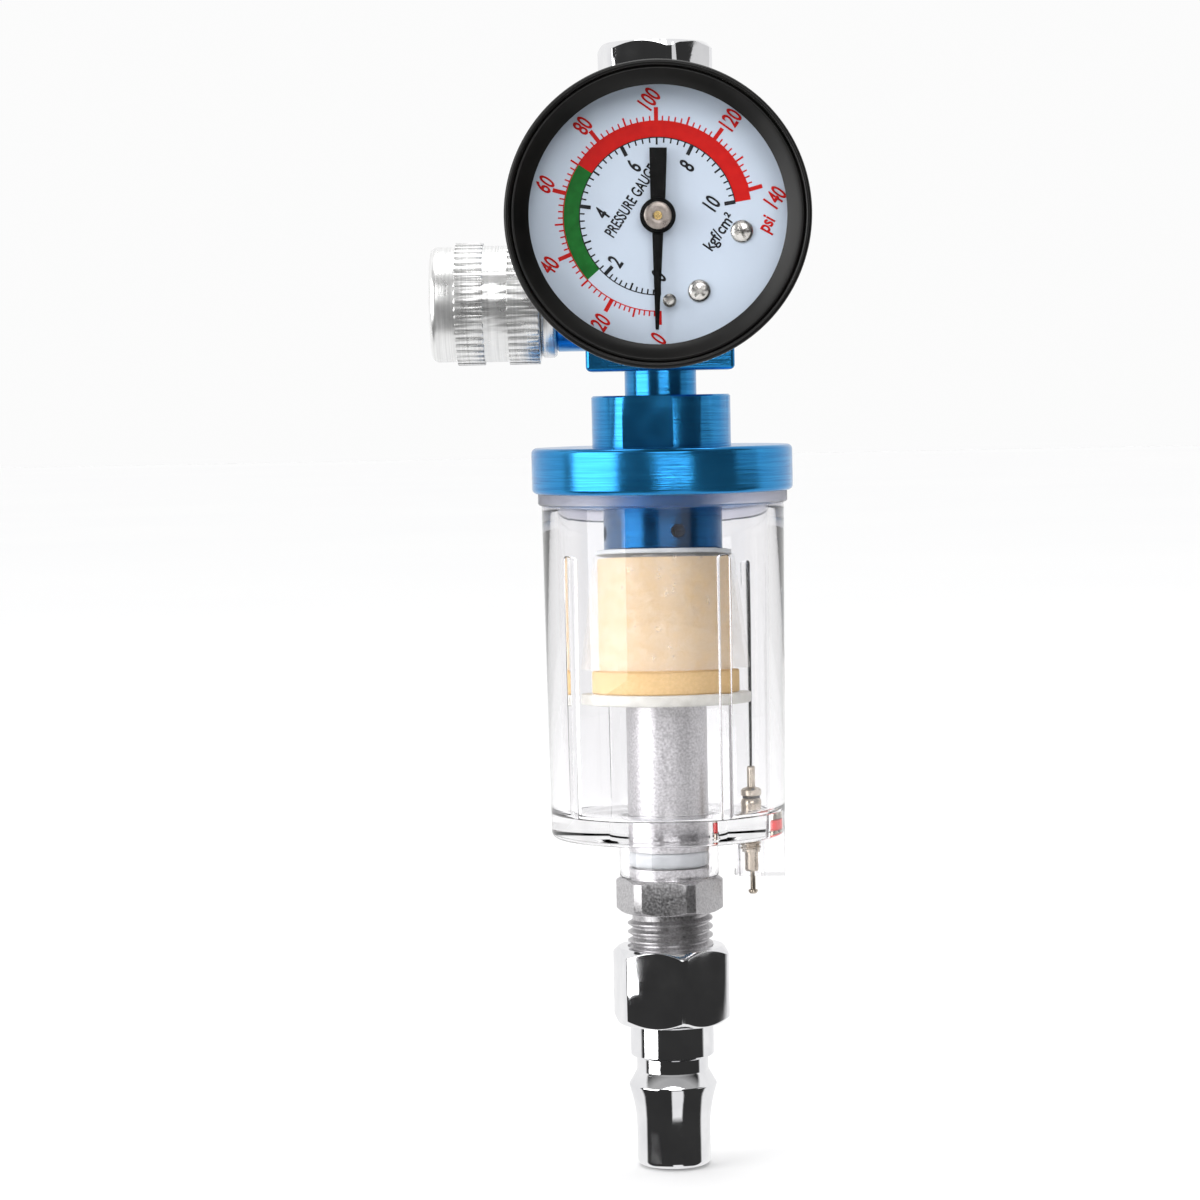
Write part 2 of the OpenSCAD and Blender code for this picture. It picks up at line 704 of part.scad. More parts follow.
module drain_pin()
    color("silver") on_drain_axis() rotate_extrude() polygon([
        [0, z_floor + 7.1], [0.65, z_floor + 7.1], [0.65, z_floor + 3.7],
        [1.65, z_floor + 3.6], [1.65, z_floor + 2.4], [0.4, z_floor + 2.4],
        [0.4, z_floor - 3.55], [0.9, z_floor - 3.55], [0.9, z_floor - 4.05],
        [0.4, z_floor - 4.05], [0.4, z_hex - 2.4], [0.75, z_hex - 2.5],
        [0.75, z_hex - 2.8], [0.5, z_hex - 3.1], [0, z_hex - 3.1]]);

module drain_poppet_seal()
    color("dimgray") on_drain_axis() ring(1.4, 0.4, z_floor + 2.4, z_floor + 2.05);

// Quick plug

module quick_plug() {
    barrel = z_plug_hex - 5.1;
    groove = barrel - 2.6;
    crest = groove - 1.6;
    tip = z_plug_hex - 16.7;
    steps = 6;
    taper = [for (i = [0:steps]) let (t = i / steps)
        [plug_tip_r + (6.8 - plug_tip_r) * (1 - t) * (1 - t),
            crest - 0.5 + (tip - crest + 0.5) * t]];
    color("silver") difference() {
        union() {
            hex_bar(plug_af, z_plug, plug_hex_len, -17.5, plug_af / sqrt(3) + 0.05);
            rotate_extrude() polygon(concat([[0, z_plug_hex + 1], [6.45, z_plug_hex + 1],
                [6.45, barrel], [5.55, barrel], [5.55, groove], [6.8, crest]], taper,
                [[plug_tip_r, z_tip], [plug_tip_r - 0.8, z_foot], [0, z_foot]]));
        }
        rod(g_thread_r, z_plug + 1, z_thread_end - 1);
        rod(air_r, z_plug, z_foot - 1);
    }
}

module plug_washer()
    color("sienna") ring(g_thread_r - 0.1, 4.2, z_thread_end, z_thread_end - 1);

swivel_nut();
swivel_tail();
tail_washer();
regulator_body();
valve_seat();
throttle_piston();
piston_o_ring();
gland();
valve_spindle();
knob();
knob_screw();
gauge_washer();
gauge_socket();
gauge_case();
case_screws();
bourdon_tube();
bourdon_tip();
movement_back_plate();
movement_screws();
movement_pillars();
movement_front_plate();
hairspring();
sector_gear();
link_rod();
pinion_shaft();
dial_posts();
gauge_dial();
dial_screws();
zero_stop_pin();
pointer();
pointer_hub();
lens_gasket();
gauge_lens();
gauge_bezel();
filter_cap();
cap_o_ring();
bowl();
filter_washer();
filter_shroud();
filter_element();
baffle_disc();
tie_tube();
neck_seal();
drain_body();
drain_seal();
drain_spring();
drain_pin();
drain_poppet_seal();
quick_plug();
plug_washer();
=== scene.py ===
import json
from math import atan2, cos, hypot, pi, radians, sin, sqrt, tan, tau
import bpy
from mathutils import Euler, Matrix, Vector


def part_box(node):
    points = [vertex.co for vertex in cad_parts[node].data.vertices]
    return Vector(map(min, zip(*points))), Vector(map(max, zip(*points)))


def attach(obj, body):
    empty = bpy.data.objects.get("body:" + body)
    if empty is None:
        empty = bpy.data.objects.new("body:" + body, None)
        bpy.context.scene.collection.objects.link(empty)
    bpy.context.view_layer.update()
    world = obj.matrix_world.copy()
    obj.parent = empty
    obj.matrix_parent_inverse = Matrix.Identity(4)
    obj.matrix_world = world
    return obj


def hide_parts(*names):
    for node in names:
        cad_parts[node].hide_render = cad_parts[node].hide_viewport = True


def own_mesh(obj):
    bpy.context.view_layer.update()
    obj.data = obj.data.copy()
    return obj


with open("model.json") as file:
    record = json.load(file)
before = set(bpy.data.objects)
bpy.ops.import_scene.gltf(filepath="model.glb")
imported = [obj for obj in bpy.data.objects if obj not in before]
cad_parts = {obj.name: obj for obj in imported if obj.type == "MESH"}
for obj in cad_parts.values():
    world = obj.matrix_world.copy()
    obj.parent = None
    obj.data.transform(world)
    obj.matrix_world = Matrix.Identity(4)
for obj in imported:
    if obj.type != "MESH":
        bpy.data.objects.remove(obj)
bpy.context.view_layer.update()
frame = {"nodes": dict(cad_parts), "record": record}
print("frame loaded:", len(frame["nodes"]), "nodes")

# Everything is modelled in millimetres and brought to metres by settle().
mm = 0.001
quarter = pi / 2


def span(node):
    low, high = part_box(node)
    return low / mm, high / mm


nutLow, nutHigh = span("swivel_nut")
blockLow, blockHigh = span("regulator_body")
capLow, capHigh = span("filter_cap")
bowlLow, bowlHigh = span("bowl")
tubeLow, tubeHigh = span("tie_tube")
plugLow, plugHigh = span("quick_plug")
knobLow, knobHigh = span("knob")
glandLow, glandHigh = span("gland")
bezelLow, bezelHigh = span("gauge_bezel")
caseLow, caseHigh = span("gauge_case")
dialLow, dialHigh = span("gauge_dial")
gaugeZ = (bezelLow.z + bezelHigh.z) / 2
knobZ = (knobLow.z + knobHigh.z) / 2
drainX = (span("drain_pin")[0].x + span("drain_pin")[1].x) / 2
upAxis = ((0, 0, 0), (0, 0, 0))
gaugeAxis = ((quarter, 0, 0), (0, 0, gaugeZ))     # local Z comes out of the dial
knobAxis = ((0, -quarter, 0), (0, 0, knobZ))      # local Z comes out of the knob's end
drainAxis = ((0, 0, 0), (drainX, 0, 0))

# Camera
camera = {"place": (-0.8, -544.0, -52.7), "aim": (-9.9, 0, -84.7), "lens": 106.3, "roll": -1.1}
bpy.ops.object.camera_add(location=Vector(camera["place"]) * mm)
eye = bpy.context.object
eye.name = "mainCamera"
eye.data.lens = camera["lens"]
eye.data.clip_start = 0.01
look = Vector(camera["aim"]) - Vector(camera["place"])
eye.rotation_euler = (look.to_track_quat("-Z", "Y").to_matrix()
                      @ Matrix.Rotation(radians(camera["roll"]), 3, "Z")).to_euler()
bpy.context.scene.camera = eye
bpy.context.scene.view_settings.view_transform = "Standard"

# Shared steps for modelling


def deselectAll():
    if bpy.context.object and bpy.context.object.mode != "OBJECT":
        bpy.ops.object.mode_set(mode="OBJECT")
    bpy.ops.object.select_all(action="DESELECT")


def pick(part):
    deselectAll()
    part.select_set(True)
    bpy.context.view_layer.objects.active = part
    return part


def applyAll(part):
    pick(part)
    for modifier in list(part.modifiers):
        bpy.ops.object.modifier_apply(modifier=modifier.name)


def faceOut(part):
    # Turns every face outwards and leaves edit mode.
    bpy.ops.mesh.select_all(action="SELECT")
    bpy.ops.mesh.normals_make_consistent(inside=False)
    bpy.ops.object.mode_set(mode="OBJECT")
    return part


def drawOutline(points, closed=True):
    # A plane is merged to one point, which is then pulled along the outline.
    deselectAll()
    bpy.ops.mesh.primitive_plane_add(size=1)
    bpy.ops.object.mode_set(mode="EDIT")
    bpy.context.tool_settings.mesh_select_mode = (True, False, False)
    bpy.ops.mesh.merge(type="CENTER")
    bpy.ops.transform.translate(value=points[0])
    stops = list(points) + ([points[0]] if closed else [])
    for here, there in zip(stops, stops[1:]):
        bpy.ops.mesh.extrude_vertices_move(
            TRANSFORM_OT_translate={"value": Vector(there) - Vector(here)})
    bpy.ops.mesh.select_all(action="SELECT")
    bpy.ops.mesh.remove_doubles(threshold=0.0005)
    return bpy.context.object


def turned(outline, steps=96, closed=None):
    # A turned part: the outline holds (radius, height) and is spun round Z.
    if closed is None:
        closed = outline[0][0] > 0
    part = drawOutline([(r, 0, h) for r, h in outline], closed)
    bpy.ops.mesh.spin(steps=steps, angle=tau, center=(0, 0, 0), axis=(0, 0, 1))
    bpy.ops.mesh.select_all(action="SELECT")
    bpy.ops.mesh.remove_doubles(threshold=0.0005)
    return faceOut(part)


def flatShape(points, thick, low):
    # A sheet cut to an outline, lying on height low.
    part = drawOutline([(x, y, low) for x, y in points])
    bpy.ops.mesh.edge_face_add()
    bpy.ops.mesh.extrude_region_move(TRANSFORM_OT_translate={"value": (0, 0, thick)})
    return faceOut(part)


def ring(inner, outer, low, high):
    return turned([(inner, low), (outer, low), (outer, high), (inner, high)])


def moved(part, at):
    # The part is the active object, still at the origin.
    part.location = (*at, 0)
    bpy.ops.object.transform_apply(location=True, rotation=False, scale=False)
    return part


def arc(r, h, size, start, end, steps=5):
    # Points of a rounded edge, as angles in degrees round (r, h).
    angles = [radians(start + (end - start) * i / steps) for i in range(steps + 1)]
    return [(r + size * cos(a), h + size * sin(a)) for a in angles]


def soften(part, width, segments=2, angle=32):
    bevel = part.modifiers.new("edges", "BEVEL")
    bevel.width = width
    bevel.segments = segments
    bevel.limit_method = "ANGLE"
    bevel.angle_limit = radians(angle)
    applyAll(part)
    return part


def combine(part, other, how):
    cut = part.modifiers.new("combine", "BOOLEAN")
    cut.operation = how
    cut.solver = "EXACT"
    cut.object = other
    applyAll(part)
    bpy.data.objects.remove(other)
    return part


def post(radius, low, high, at=(0, 0), turn=(0, 0, 0), sides=48):
    deselectAll()
    bpy.ops.mesh.primitive_cylinder_add(vertices=sides, radius=radius, depth=high - low,
                                        location=(0, 0, (low + high) / 2))
    part = bpy.context.object
    bpy.ops.object.transform_apply(location=True, rotation=False, scale=False)
    part.rotation_euler = turn
    part.location = (at[0], at[1], at[2] if len(at) > 2 else 0)
    bpy.ops.object.transform_apply(location=True, rotation=True, scale=False)
    return part


def bar(low, high, turn=0):
    # A square bar between two corners, turned round Z.
    deselectAll()
    size = Vector(high) - Vector(low)
    bpy.ops.mesh.primitive_cube_add(size=1, location=(Vector(low) + Vector(high)) / 2,
                                    scale=size)
    part = bpy.context.object
    bpy.ops.object.transform_apply(location=True, rotation=False, scale=True)
    part.rotation_euler.z = radians(turn)
    bpy.ops.object.transform_apply(location=False, rotation=True, scale=False)
    return part


def hexBar(across, low, high, turn, corner, slope=30, rounding=0.3):
    # A hexagon bar with rounded long edges, whose corners are turned off at both ends.
    part = post(across / sqrt(3), low - 3, high + 3, turn=(0, 0, radians(30 + turn)),
                sides=6)
    soften(part, rounding, 5, 50)
    flat = across / 2 - 0.15
    drop = (corner - flat) * tan(radians(slope))
    crown = turned([(0, low), (flat, low), (corner, low + drop), (corner, high - drop),
                    (flat, high), (0, high)], steps=120)
    return combine(part, crown, "INTERSECT")


def coiled(outline, turns, rise, steps):
    # Carries a closed outline up a helix by a Screw modifier and closes both ends.
    part = drawOutline(outline)
    bpy.ops.object.mode_set(mode="OBJECT")
    screw = part.modifiers.new("helix", "SCREW")
    screw.axis = "Z"
    screw.angle = tau * turns
    screw.screw_offset = rise
    screw.steps = screw.render_steps = round(steps * turns)
    applyAll(part)
    bpy.ops.object.mode_set(mode="EDIT")
    bpy.ops.mesh.select_all(action="SELECT")
    bpy.ops.mesh.fill_holes(sides=0)
    return faceOut(part)


def threadRidge(base, crest, pitch, low, high):
    # One thread, a small trapezium in section.
    turns = (high - low) / pitch - 0.9
    foot = low + pitch * 0.45
    return coiled([(base, 0, foot - 0.46 * pitch), (crest, 0, foot - 0.08 * pitch),
                   (crest, 0, foot + 0.08 * pitch), (base, 0, foot + 0.46 * pitch)],
                  turns, pitch * turns, 48)


def selectFaces(part, wanted):
    # Leaves the part in edit mode with only the wanted faces selected.
    pick(part)
    bpy.ops.object.mode_set(mode="EDIT")
    bpy.context.tool_settings.mesh_select_mode = (False, False, True)
    bpy.ops.mesh.select_all(action="DESELECT")
    bpy.ops.object.mode_set(mode="OBJECT")
    for face in part.data.polygons:
        face.select = wanted(face)
    bpy.ops.object.mode_set(mode="EDIT")


def joinTo(part, *others):
    pick(part)
    for other in others:
        other.select_set(True)
    bpy.ops.object.join()
    return part


def settle(part, name, body, material, nodes=(), axis=upAxis, smooth=35):
    # Puts a finished piece in the frame: place, metres, shading, material and body.
    pick(part)
    part.name = part.data.name = name
    turn, place = axis
    part.matrix_world = (Matrix.Scale(mm, 4) @ Matrix.Translation(place)
                         @ Euler(turn).to_matrix().to_4x4())
    bpy.ops.object.transform_apply(location=True, rotation=True, scale=True)
    bpy.ops.object.shade_smooth_by_angle(angle=radians(smooth))
    part.data.materials.clear()
    part.data.materials.append(material)
    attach(part, body)
    if nodes:
        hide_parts(*nodes)
    return part


# Shared steps for materials


def newMaterial(name):
    material = bpy.data.materials.new(name)
    material.use_nodes = True
    nodes = material.node_tree.nodes
    shader = nodes["Principled BSDF"]
    coords = nodes.new("ShaderNodeTexCoord")
    return material, nodes, material.node_tree.links, shader, coords.outputs["Object"]


def noise(nodes, links, coords, scale, detail=3, stretch=(1, 1, 1)):
    mapping = nodes.new("ShaderNodeMapping")
    mapping.inputs["Scale"].default_value = stretch
    texture = nodes.new("ShaderNodeTexNoise")
    texture.inputs["Scale"].default_value = scale
    texture.inputs["Detail"].default_value = detail
    links.new(coords, mapping.inputs["Vector"])
    links.new(mapping.outputs["Vector"], texture.inputs["Vector"])
    return texture.outputs["Fac"]


def spread(nodes, links, value, low, high, start=0.3, end=0.7):
    # Turns a pattern of about 0 to 1 into a value between low and high.
    ranger = nodes.new("ShaderNodeMapRange")
    ranger.inputs["From Min"].default_value = start
    ranger.inputs["From Max"].default_value = end
    ranger.inputs["To Min"].default_value = low
    ranger.inputs["To Max"].default_value = high
    links.new(value, ranger.inputs["Value"])
    return ranger.outputs["Result"]


def twoTone(nodes, links, value, first, second, start=0.3, end=0.7):
    ramp = nodes.new("ShaderNodeValToRGB")
    ramp.color_ramp.elements[0].position = start
    ramp.color_ramp.elements[1].position = end
    ramp.color_ramp.elements[0].color = (*first, 1)
    ramp.color_ramp.elements[1].color = (*second, 1)
    links.new(value, ramp.inputs["Fac"])
    return ramp.outputs["Color"]


def finish(nodes, links, shader, pattern, tones, rough, start=0.3, end=0.7):
    links.new(twoTone(nodes, links, pattern, *tones, start, end), shader.inputs["Base Color"])
    links.new(spread(nodes, links, pattern, *rough, start, end), shader.inputs["Roughness"])


def bumpFrom(nodes, links, value, depth, shader, strength):
    bump = nodes.new("ShaderNodeBump")
    bump.inputs["Distance"].default_value = depth
    bump.inputs["Strength"].default_value = strength
    links.new(value, bump.inputs["Height"])
    links.new(bump.outputs["Normal"], shader.inputs["Normal"])


def metal(name, tones, rough, grain, lines=None, depth=0.00001, polish=1.0):
    # tones: two colours; rough: lowest and highest roughness; grain: size of the mottling;
    # lines: stretch of the tool marks, long along two axes and short along the third;
    # polish: below 1 the surface scatters some light too
    material, nodes, links, shader, coords = newMaterial(name)
    shader.inputs["Metallic"].default_value = polish
    mottle = noise(nodes, links, coords, grain, 4)
    marks = noise(nodes, links, coords, 300, 3, lines) if lines else \
        noise(nodes, links, coords, 1500, 2)
    links.new(twoTone(nodes, links, marks if lines else mottle, *tones),
              shader.inputs["Base Color"])
    links.new(spread(nodes, links, mottle, *rough), shader.inputs["Roughness"])
    bumpFrom(nodes, links, marks, depth, shader, 0.5)
    return material


def plastic(name, tones, rough, grain, depth=0.00002, coat=0.0, fine=2500, gloss=0.5):
    material, nodes, links, shader, coords = newMaterial(name)
    mottle = noise(nodes, links, coords, grain, 4)
    finish(nodes, links, shader, mottle, tones, rough)
    shader.inputs["Specular IOR Level"].default_value = gloss
    shader.inputs["Coat Weight"].default_value = coat
    shader.inputs["Coat Roughness"].default_value = 0.04
    bumpFrom(nodes, links, noise(nodes, links, coords, fine, 3), depth, shader, 0.5)
    return material


def byHeight(nodes, links, coords, level, low, high, fade=0.0006):
    # A value that changes from low to high just above a level, in metres.
    split = nodes.new("ShaderNodeSeparateXYZ")
    links.new(coords, split.inputs["Vector"])
    return spread(nodes, links, split.outputs["Z"], low, high, level, level + fade)


def dullBelow(material, level, shade):
    # The same finish, but with painted shade: the colour is darker under a level.
    nodes, links = material.node_tree.nodes, material.node_tree.links
    shader = nodes["Principled BSDF"]
    colour = shader.inputs["Base Color"].links[0].from_socket
    mix = nodes.new("ShaderNodeMix")
    mix.data_type = "RGBA"
    mix.blend_type = "MULTIPLY"
    links.new(byHeight(nodes, links, nodes["Texture Coordinate"].outputs["Object"], level, 1, 0),
              mix.inputs["Factor"])
    links.new(colour, mix.inputs["A"])
    mix.inputs["B"].default_value = (*shade, 1)
    links.new(mix.outputs["Result"], shader.inputs["Base Color"])


def clear(name, tint, rough, rays, ior, waves, depth, frostLevel=None):
    # Clear plastic that lets the lamps through, tinted as rays says, so what it covers is lit.
    # tint and rough: two values, mixed by faint waves, or parted at the level of a dull rim
    material, nodes, links, shader, coords = newMaterial(name)
    shader.inputs["Transmission Weight"].default_value = 1.0
    shader.inputs["IOR"].default_value = ior
    flow = noise(nodes, links, coords, waves, 2)
    pattern, start, end = flow, 0.3, 0.7
    if frostLevel:
        pattern, start, end = byHeight(nodes, links, coords, frostLevel, 0, 1), 0, 1
    finish(nodes, links, shader, pattern, tint, rough, start, end)
    bumpFrom(nodes, links, flow, depth, shader, 0.4)
    ray = nodes.new("ShaderNodeLightPath")
    through = nodes.new("ShaderNodeBsdfTransparent")
    through.inputs["Color"].default_value = (*rays, 1)
    mix = nodes.new("ShaderNodeMixShader")
    links.new(ray.outputs["Is Shadow Ray"], mix.inputs["Fac"])
    links.new(shader.outputs["BSDF"], mix.inputs[1])
    links.new(through.outputs["BSDF"], mix.inputs[2])
    links.new(mix.outputs["Shader"], nodes["Material Output"].inputs["Surface"])
    return material


def milky(name, tint, share, rough):
    # Thin cloudy plastic: part of the light goes straight through, the rest scatters.
    material, nodes, links, shader, coords = newMaterial(name)
    cloud = noise(nodes, links, coords, 500, 4)
    finish(nodes, links, shader, cloud, tint, rough)
    shader.inputs["Subsurface Weight"].default_value = 0.4
    shader.inputs["Subsurface Radius"].default_value = (0.002, 0.002, 0.0018)
    shader.inputs["Subsurface Scale"].default_value = 0.5
    bumpFrom(nodes, links, noise(nodes, links, coords, 2000, 2), 0.00001, shader, 0.4)
    through = nodes.new("ShaderNodeBsdfTransparent")
    mix = nodes.new("ShaderNodeMixShader")
    links.new(spread(nodes, links, cloud, share - 0.04, share + 0.04), mix.inputs["Fac"])
    links.new(through.outputs["BSDF"], mix.inputs[1])
    links.new(shader.outputs["BSDF"], mix.inputs[2])
    links.new(mix.outputs["Shader"], nodes["Material Output"].inputs["Surface"])
    return material


chromePlate = metal("chromePlate", ((0.78, 0.78, 0.80), (0.90, 0.90, 0.91)), (0.04, 0.10), 220,
                    None, 0.000006)
nickelBrass = metal("nickelBrass", ((0.42, 0.36, 0.29), (0.62, 0.56, 0.48)), (0.16, 0.3), 700,
                    None, 0.00001, 0.9)
agedNickel = metal("agedNickel", ((0.22, 0.19, 0.17), (0.36, 0.32, 0.29)), (0.25, 0.4), 900,
                   None, 0.00001, 0.9)
brightAluminium = metal("brightAluminium", ((0.74, 0.74, 0.735), (0.92, 0.92, 0.915)), (0.24, 0.34),
                        300, (16, 0.2, 0.2), 0.00003, 0.86)
blueAnodised = metal("blueAnodised", ((0.014, 0.19, 0.47), (0.030, 0.29, 0.62)), (0.14, 0.24), 260,
                     (0.3, 0.3, 14), 0.00005, 0.84)
# Painted shade: the cap's boss inside the bowl, under the flange, is given a darker colour.
dullBelow(blueAnodised, (bowlHigh.z - 1.2) * mm, (0.3, 0.36, 0.42))
zincPlate = metal("zincPlate", ((0.38, 0.37, 0.38), (0.68, 0.67, 0.68)), (0.28, 0.46), 3000,
                  None, 0.00003, 0.95)
steel = metal("steel", ((0.50, 0.48, 0.45), (0.70, 0.68, 0.64)), (0.15, 0.3), 700)
brass = metal("brass", ((0.60, 0.42, 0.16), (0.78, 0.58, 0.26)), (0.18, 0.34), 500)
blackRubber = plastic("blackRubber", ((0.012, 0.012, 0.012), (0.03, 0.03, 0.03)), (0.5, 0.7), 900)
whiteNylon = plastic("whiteNylon", ((0.43, 0.45, 0.46), (0.53, 0.55, 0.56)), (0.35, 0.5), 500)
redSeal = plastic("redSeal", ((0.6, 0.02, 0.02), (0.8, 0.05, 0.04)), (0.3, 0.45), 900)
sealingFibre = plastic("sealingFibre", ((0.20, 0.05, 0.03), (0.38, 0.12, 0.07)), (0.6, 0.8), 1500)
blackEnamel = plastic("blackEnamel", ((0.006, 0.006, 0.007), (0.014, 0.014, 0.015)), (0.28, 0.4),
                      300, 0.00003, 0.2, 900, 0.4)
blackGloss = plastic("blackGloss", ((0.003, 0.003, 0.003), (0.006, 0.0055, 0.005)), (0.3, 0.36),
                     200, 0.00001, 0.0, 600, 0.3)
glossNodes = blackGloss.node_tree.nodes
glossShader = glossNodes["Principled BSDF"]
glossShader.inputs["Anisotropic"].default_value = 0.85
polishing = glossNodes.new("ShaderNodeTangent")      # marks run round the bezel
polishing.direction_type = "RADIAL"
polishing.axis = "Y"
blackGloss.node_tree.links.new(polishing.outputs["Tangent"], glossShader.inputs["Tangent"])
dialWhite = plastic("dialWhite", ((0.475, 0.545, 0.64), (0.50, 0.575, 0.67)), (0.4, 0.5), 150)
inkBlack = plastic("inkBlack", ((0.006, 0.006, 0.008), (0.02, 0.02, 0.022)), (0.4, 0.55), 1200,
                   gloss=0.12)
inkRed = plastic("inkRed", ((0.46, 0.003, 0.002), (0.54, 0.007, 0.004)), (0.4, 0.55), 900,
                 gloss=0.12)
inkGreen = plastic("inkGreen", ((0.003, 0.10, 0.010), (0.008, 0.14, 0.018)), (0.4, 0.55), 900,
                   gloss=0.12)
pointerPaint = plastic("pointerPaint", ((0.002, 0.002, 0.002), (0.005, 0.005, 0.005)),
                       (0.45, 0.6), 800, gloss=0.06)
sinteredElement = plastic("sinteredElement", ((0.62, 0.42, 0.19), (0.71, 0.49, 0.24)), (0.7, 0.9),
                          2200, 0.00003, 0, 5000, 0.15)
milkyShroud = milky("milkyShroud", ((0.80, 0.79, 0.76), (0.88, 0.87, 0.84)), 0.14, (0.2, 0.3))
milkyDisc = milky("milkyDisc", ((0.66, 0.65, 0.60), (0.74, 0.73, 0.68)), 0.8, (0.3, 0.45))
clearBowl = clear("clearBowl", ((0.975, 0.97, 0.98), (0.76, 0.76, 0.86)), (0.02, 0.5),
                  (0.975, 0.97, 0.98), 1.45, 60, 0.00004, (bowlHigh.z - 2.6) * mm)
clearLens = clear("clearLens", ((0.98, 0.985, 0.99), (0.995, 0.995, 1)), (0.0, 0.02),
                  (0.995, 0.995, 1), 1.45, 40, 0.00001)
print("materials made")

# Swivel nut and tail
nut = {"across": 16, "turn": -16.5, "boreDepth": 11.5, "bore": 6.0, "lip": 5.0, "pitch": 1.337}
top, foot = nutHigh.z, nutLow.z
nutPart = hexBar(nut["across"], foot, top, nut["turn"], nut["across"] / sqrt(3) + 0.05,
                 42, 0.8)
hollow = turned([(0, top + 1), (nut["bore"] + 1.1, top + 1), (nut["bore"] + 1.1, top + 0.01),
                 (nut["bore"], top - 1.0), (nut["bore"], top - nut["boreDepth"]),
                 (nut["lip"], top - nut["boreDepth"]), (nut["lip"], foot - 1), (0, foot - 1)])
combine(nutPart, hollow, "DIFFERENCE")
soften(nutPart, 0.14, 2, 24)
ridge = threadRidge(nut["bore"] + 0.15, 5.76, nut["pitch"], top - 7.4, top - 0.4)
joinTo(nutPart, ridge)
settle(nutPart, "swivelNut", "swivel", chromePlate, ["swivel_nut"])

tail = {"bore": 2.5, "nose": 4.2, "flange": 5.6, "flangeHigh": 1.9, "body": 4.95,
        "thread": 4.86, "threadHigh": 5.8}
low, high = span("swivel_tail")
flangeFoot = nutHigh.z - nut["boreDepth"] + 0.05
tailPart = turned([(tail["bore"], high.z), (tail["nose"] - 0.5, high.z),
                   (tail["nose"], high.z - 0.5), (tail["nose"], flangeFoot + tail["flangeHigh"]),
                   (tail["flange"], flangeFoot + tail["flangeHigh"]), (tail["flange"], flangeFoot),
                   (tail["body"], flangeFoot), (tail["body"], low.z + tail["threadHigh"]),
                   (tail["thread"], low.z + tail["threadHigh"]), (tail["thread"], low.z),
                   (tail["bore"], low.z)])
soften(tailPart, 0.12)
settle(tailPart, "swivelTail", "housing", nickelBrass, ["swivel_tail"])
print("swivel made")

# Regulator block with its side arm and lower neck
block = {"width": 22.4, "height": 33.5, "edge": 0.7, "arm": 7.5, "armEdge": 0.3, "neck": 5.5,
         "neckEdge": 0.4}
top = blockHigh.z
foot = top - block["height"]
half = block["width"] / 2
blockPart = bar((-half, blockLow.y, foot), (half, blockHigh.y, top))
soften(blockPart, block["edge"], 4)
armPart = turned([(0, half - 2), (block["arm"], half - 2),
                  (block["arm"], -blockLow.x - block["armEdge"]),
                  (block["arm"] - block["armEdge"], -blockLow.x), (0, -blockLow.x)])
armPart.rotation_euler.y = -quarter
armPart.location.z = knobZ
combine(blockPart, armPart, "UNION")
neckPart = turned([(0, foot + 2), (block["neck"], foot + 2),
                   (block["neck"], blockLow.z + block["neckEdge"]),
                   (block["neck"] - block["neckEdge"], blockLow.z), (0, blockLow.z)])
combine(blockPart, neckPart, "UNION")
settle(blockPart, "regulatorBlock", "housing", blueAnodised, ["regulator_body"])

# Gland collar behind the knob
gland = {"collar": 8.4, "wide": 2.25, "boss": 6.0, "bore": 3.05, "edge": 0.35}
inner, outer = -glandHigh.x, -glandLow.x
seat = outer - gland["wide"]
glandPart = turned([(gland["bore"], inner), (gland["boss"], inner), (gland["boss"], seat),
                    (gland["collar"] - gland["edge"], seat),
                    (gland["collar"], seat + gland["edge"]),
                    (gland["collar"], outer - gland["edge"]),
                    (gland["collar"] - gland["edge"], outer), (gland["bore"], outer)])
soften(glandPart, 0.08, 2)
settle(glandPart, "glandCollar", "housing", brightAluminium, ["gland"],
       knobAxis)

# Knob: two knurled bands with a plain groove between them
knob = {"teeth": 44, "root": 8.88, "rise": 0.47, "bore": 3.0, "band1": (0.25, 4.9),
        "band2": (8.65, 12.85), "cap": 8.8, "round": 1.1}
inner, outer = -knobHigh.x, -knobLow.x
(low1, high1), (low2, high2) = [[inner + h for h in knob[b]] for b in ("band1", "band2")]
outline = [(knob["bore"], inner), (knob["root"] - 0.5, inner), (knob["root"], low1 - 0.1),
           (knob["root"], low1), (knob["root"], high1), (knob["root"], low2),
           (knob["root"], high2), (knob["cap"], high2 + 0.3), (knob["cap"], outer - knob["round"])]
outline += arc(knob["cap"] - knob["round"], outer - knob["round"], knob["round"], 10, 90)
outline += [(knob["bore"] + 0.3, outer), (knob["bore"], outer - 0.3)]
knobPart = turned(outline, steps=knob["teeth"] * 4)
step = tau / (knob["teeth"] * 4)


def onTooth(face):
    mid = face.center
    place = int((atan2(mid.y, mid.x) % tau) / step)
    onSide = hypot(mid.x, mid.y) > knob["root"] - 0.05 and abs(face.normal.z) < 0.1
    inBand = low1 < mid.z < high1 or low2 < mid.z < high2
    return onSide and inBand and place % 4 in (0, 1)


selectFaces(knobPart, onTooth)
bpy.ops.mesh.extrude_region_shrink_fatten(TRANSFORM_OT_shrink_fatten={"value": knob["rise"]})
bpy.ops.object.mode_set(mode="OBJECT")
soften(knobPart, 0.14, 2, 30)
settle(knobPart, "throttleKnob", "knob_group", brightAluminium, ["knob"],
       knobAxis)

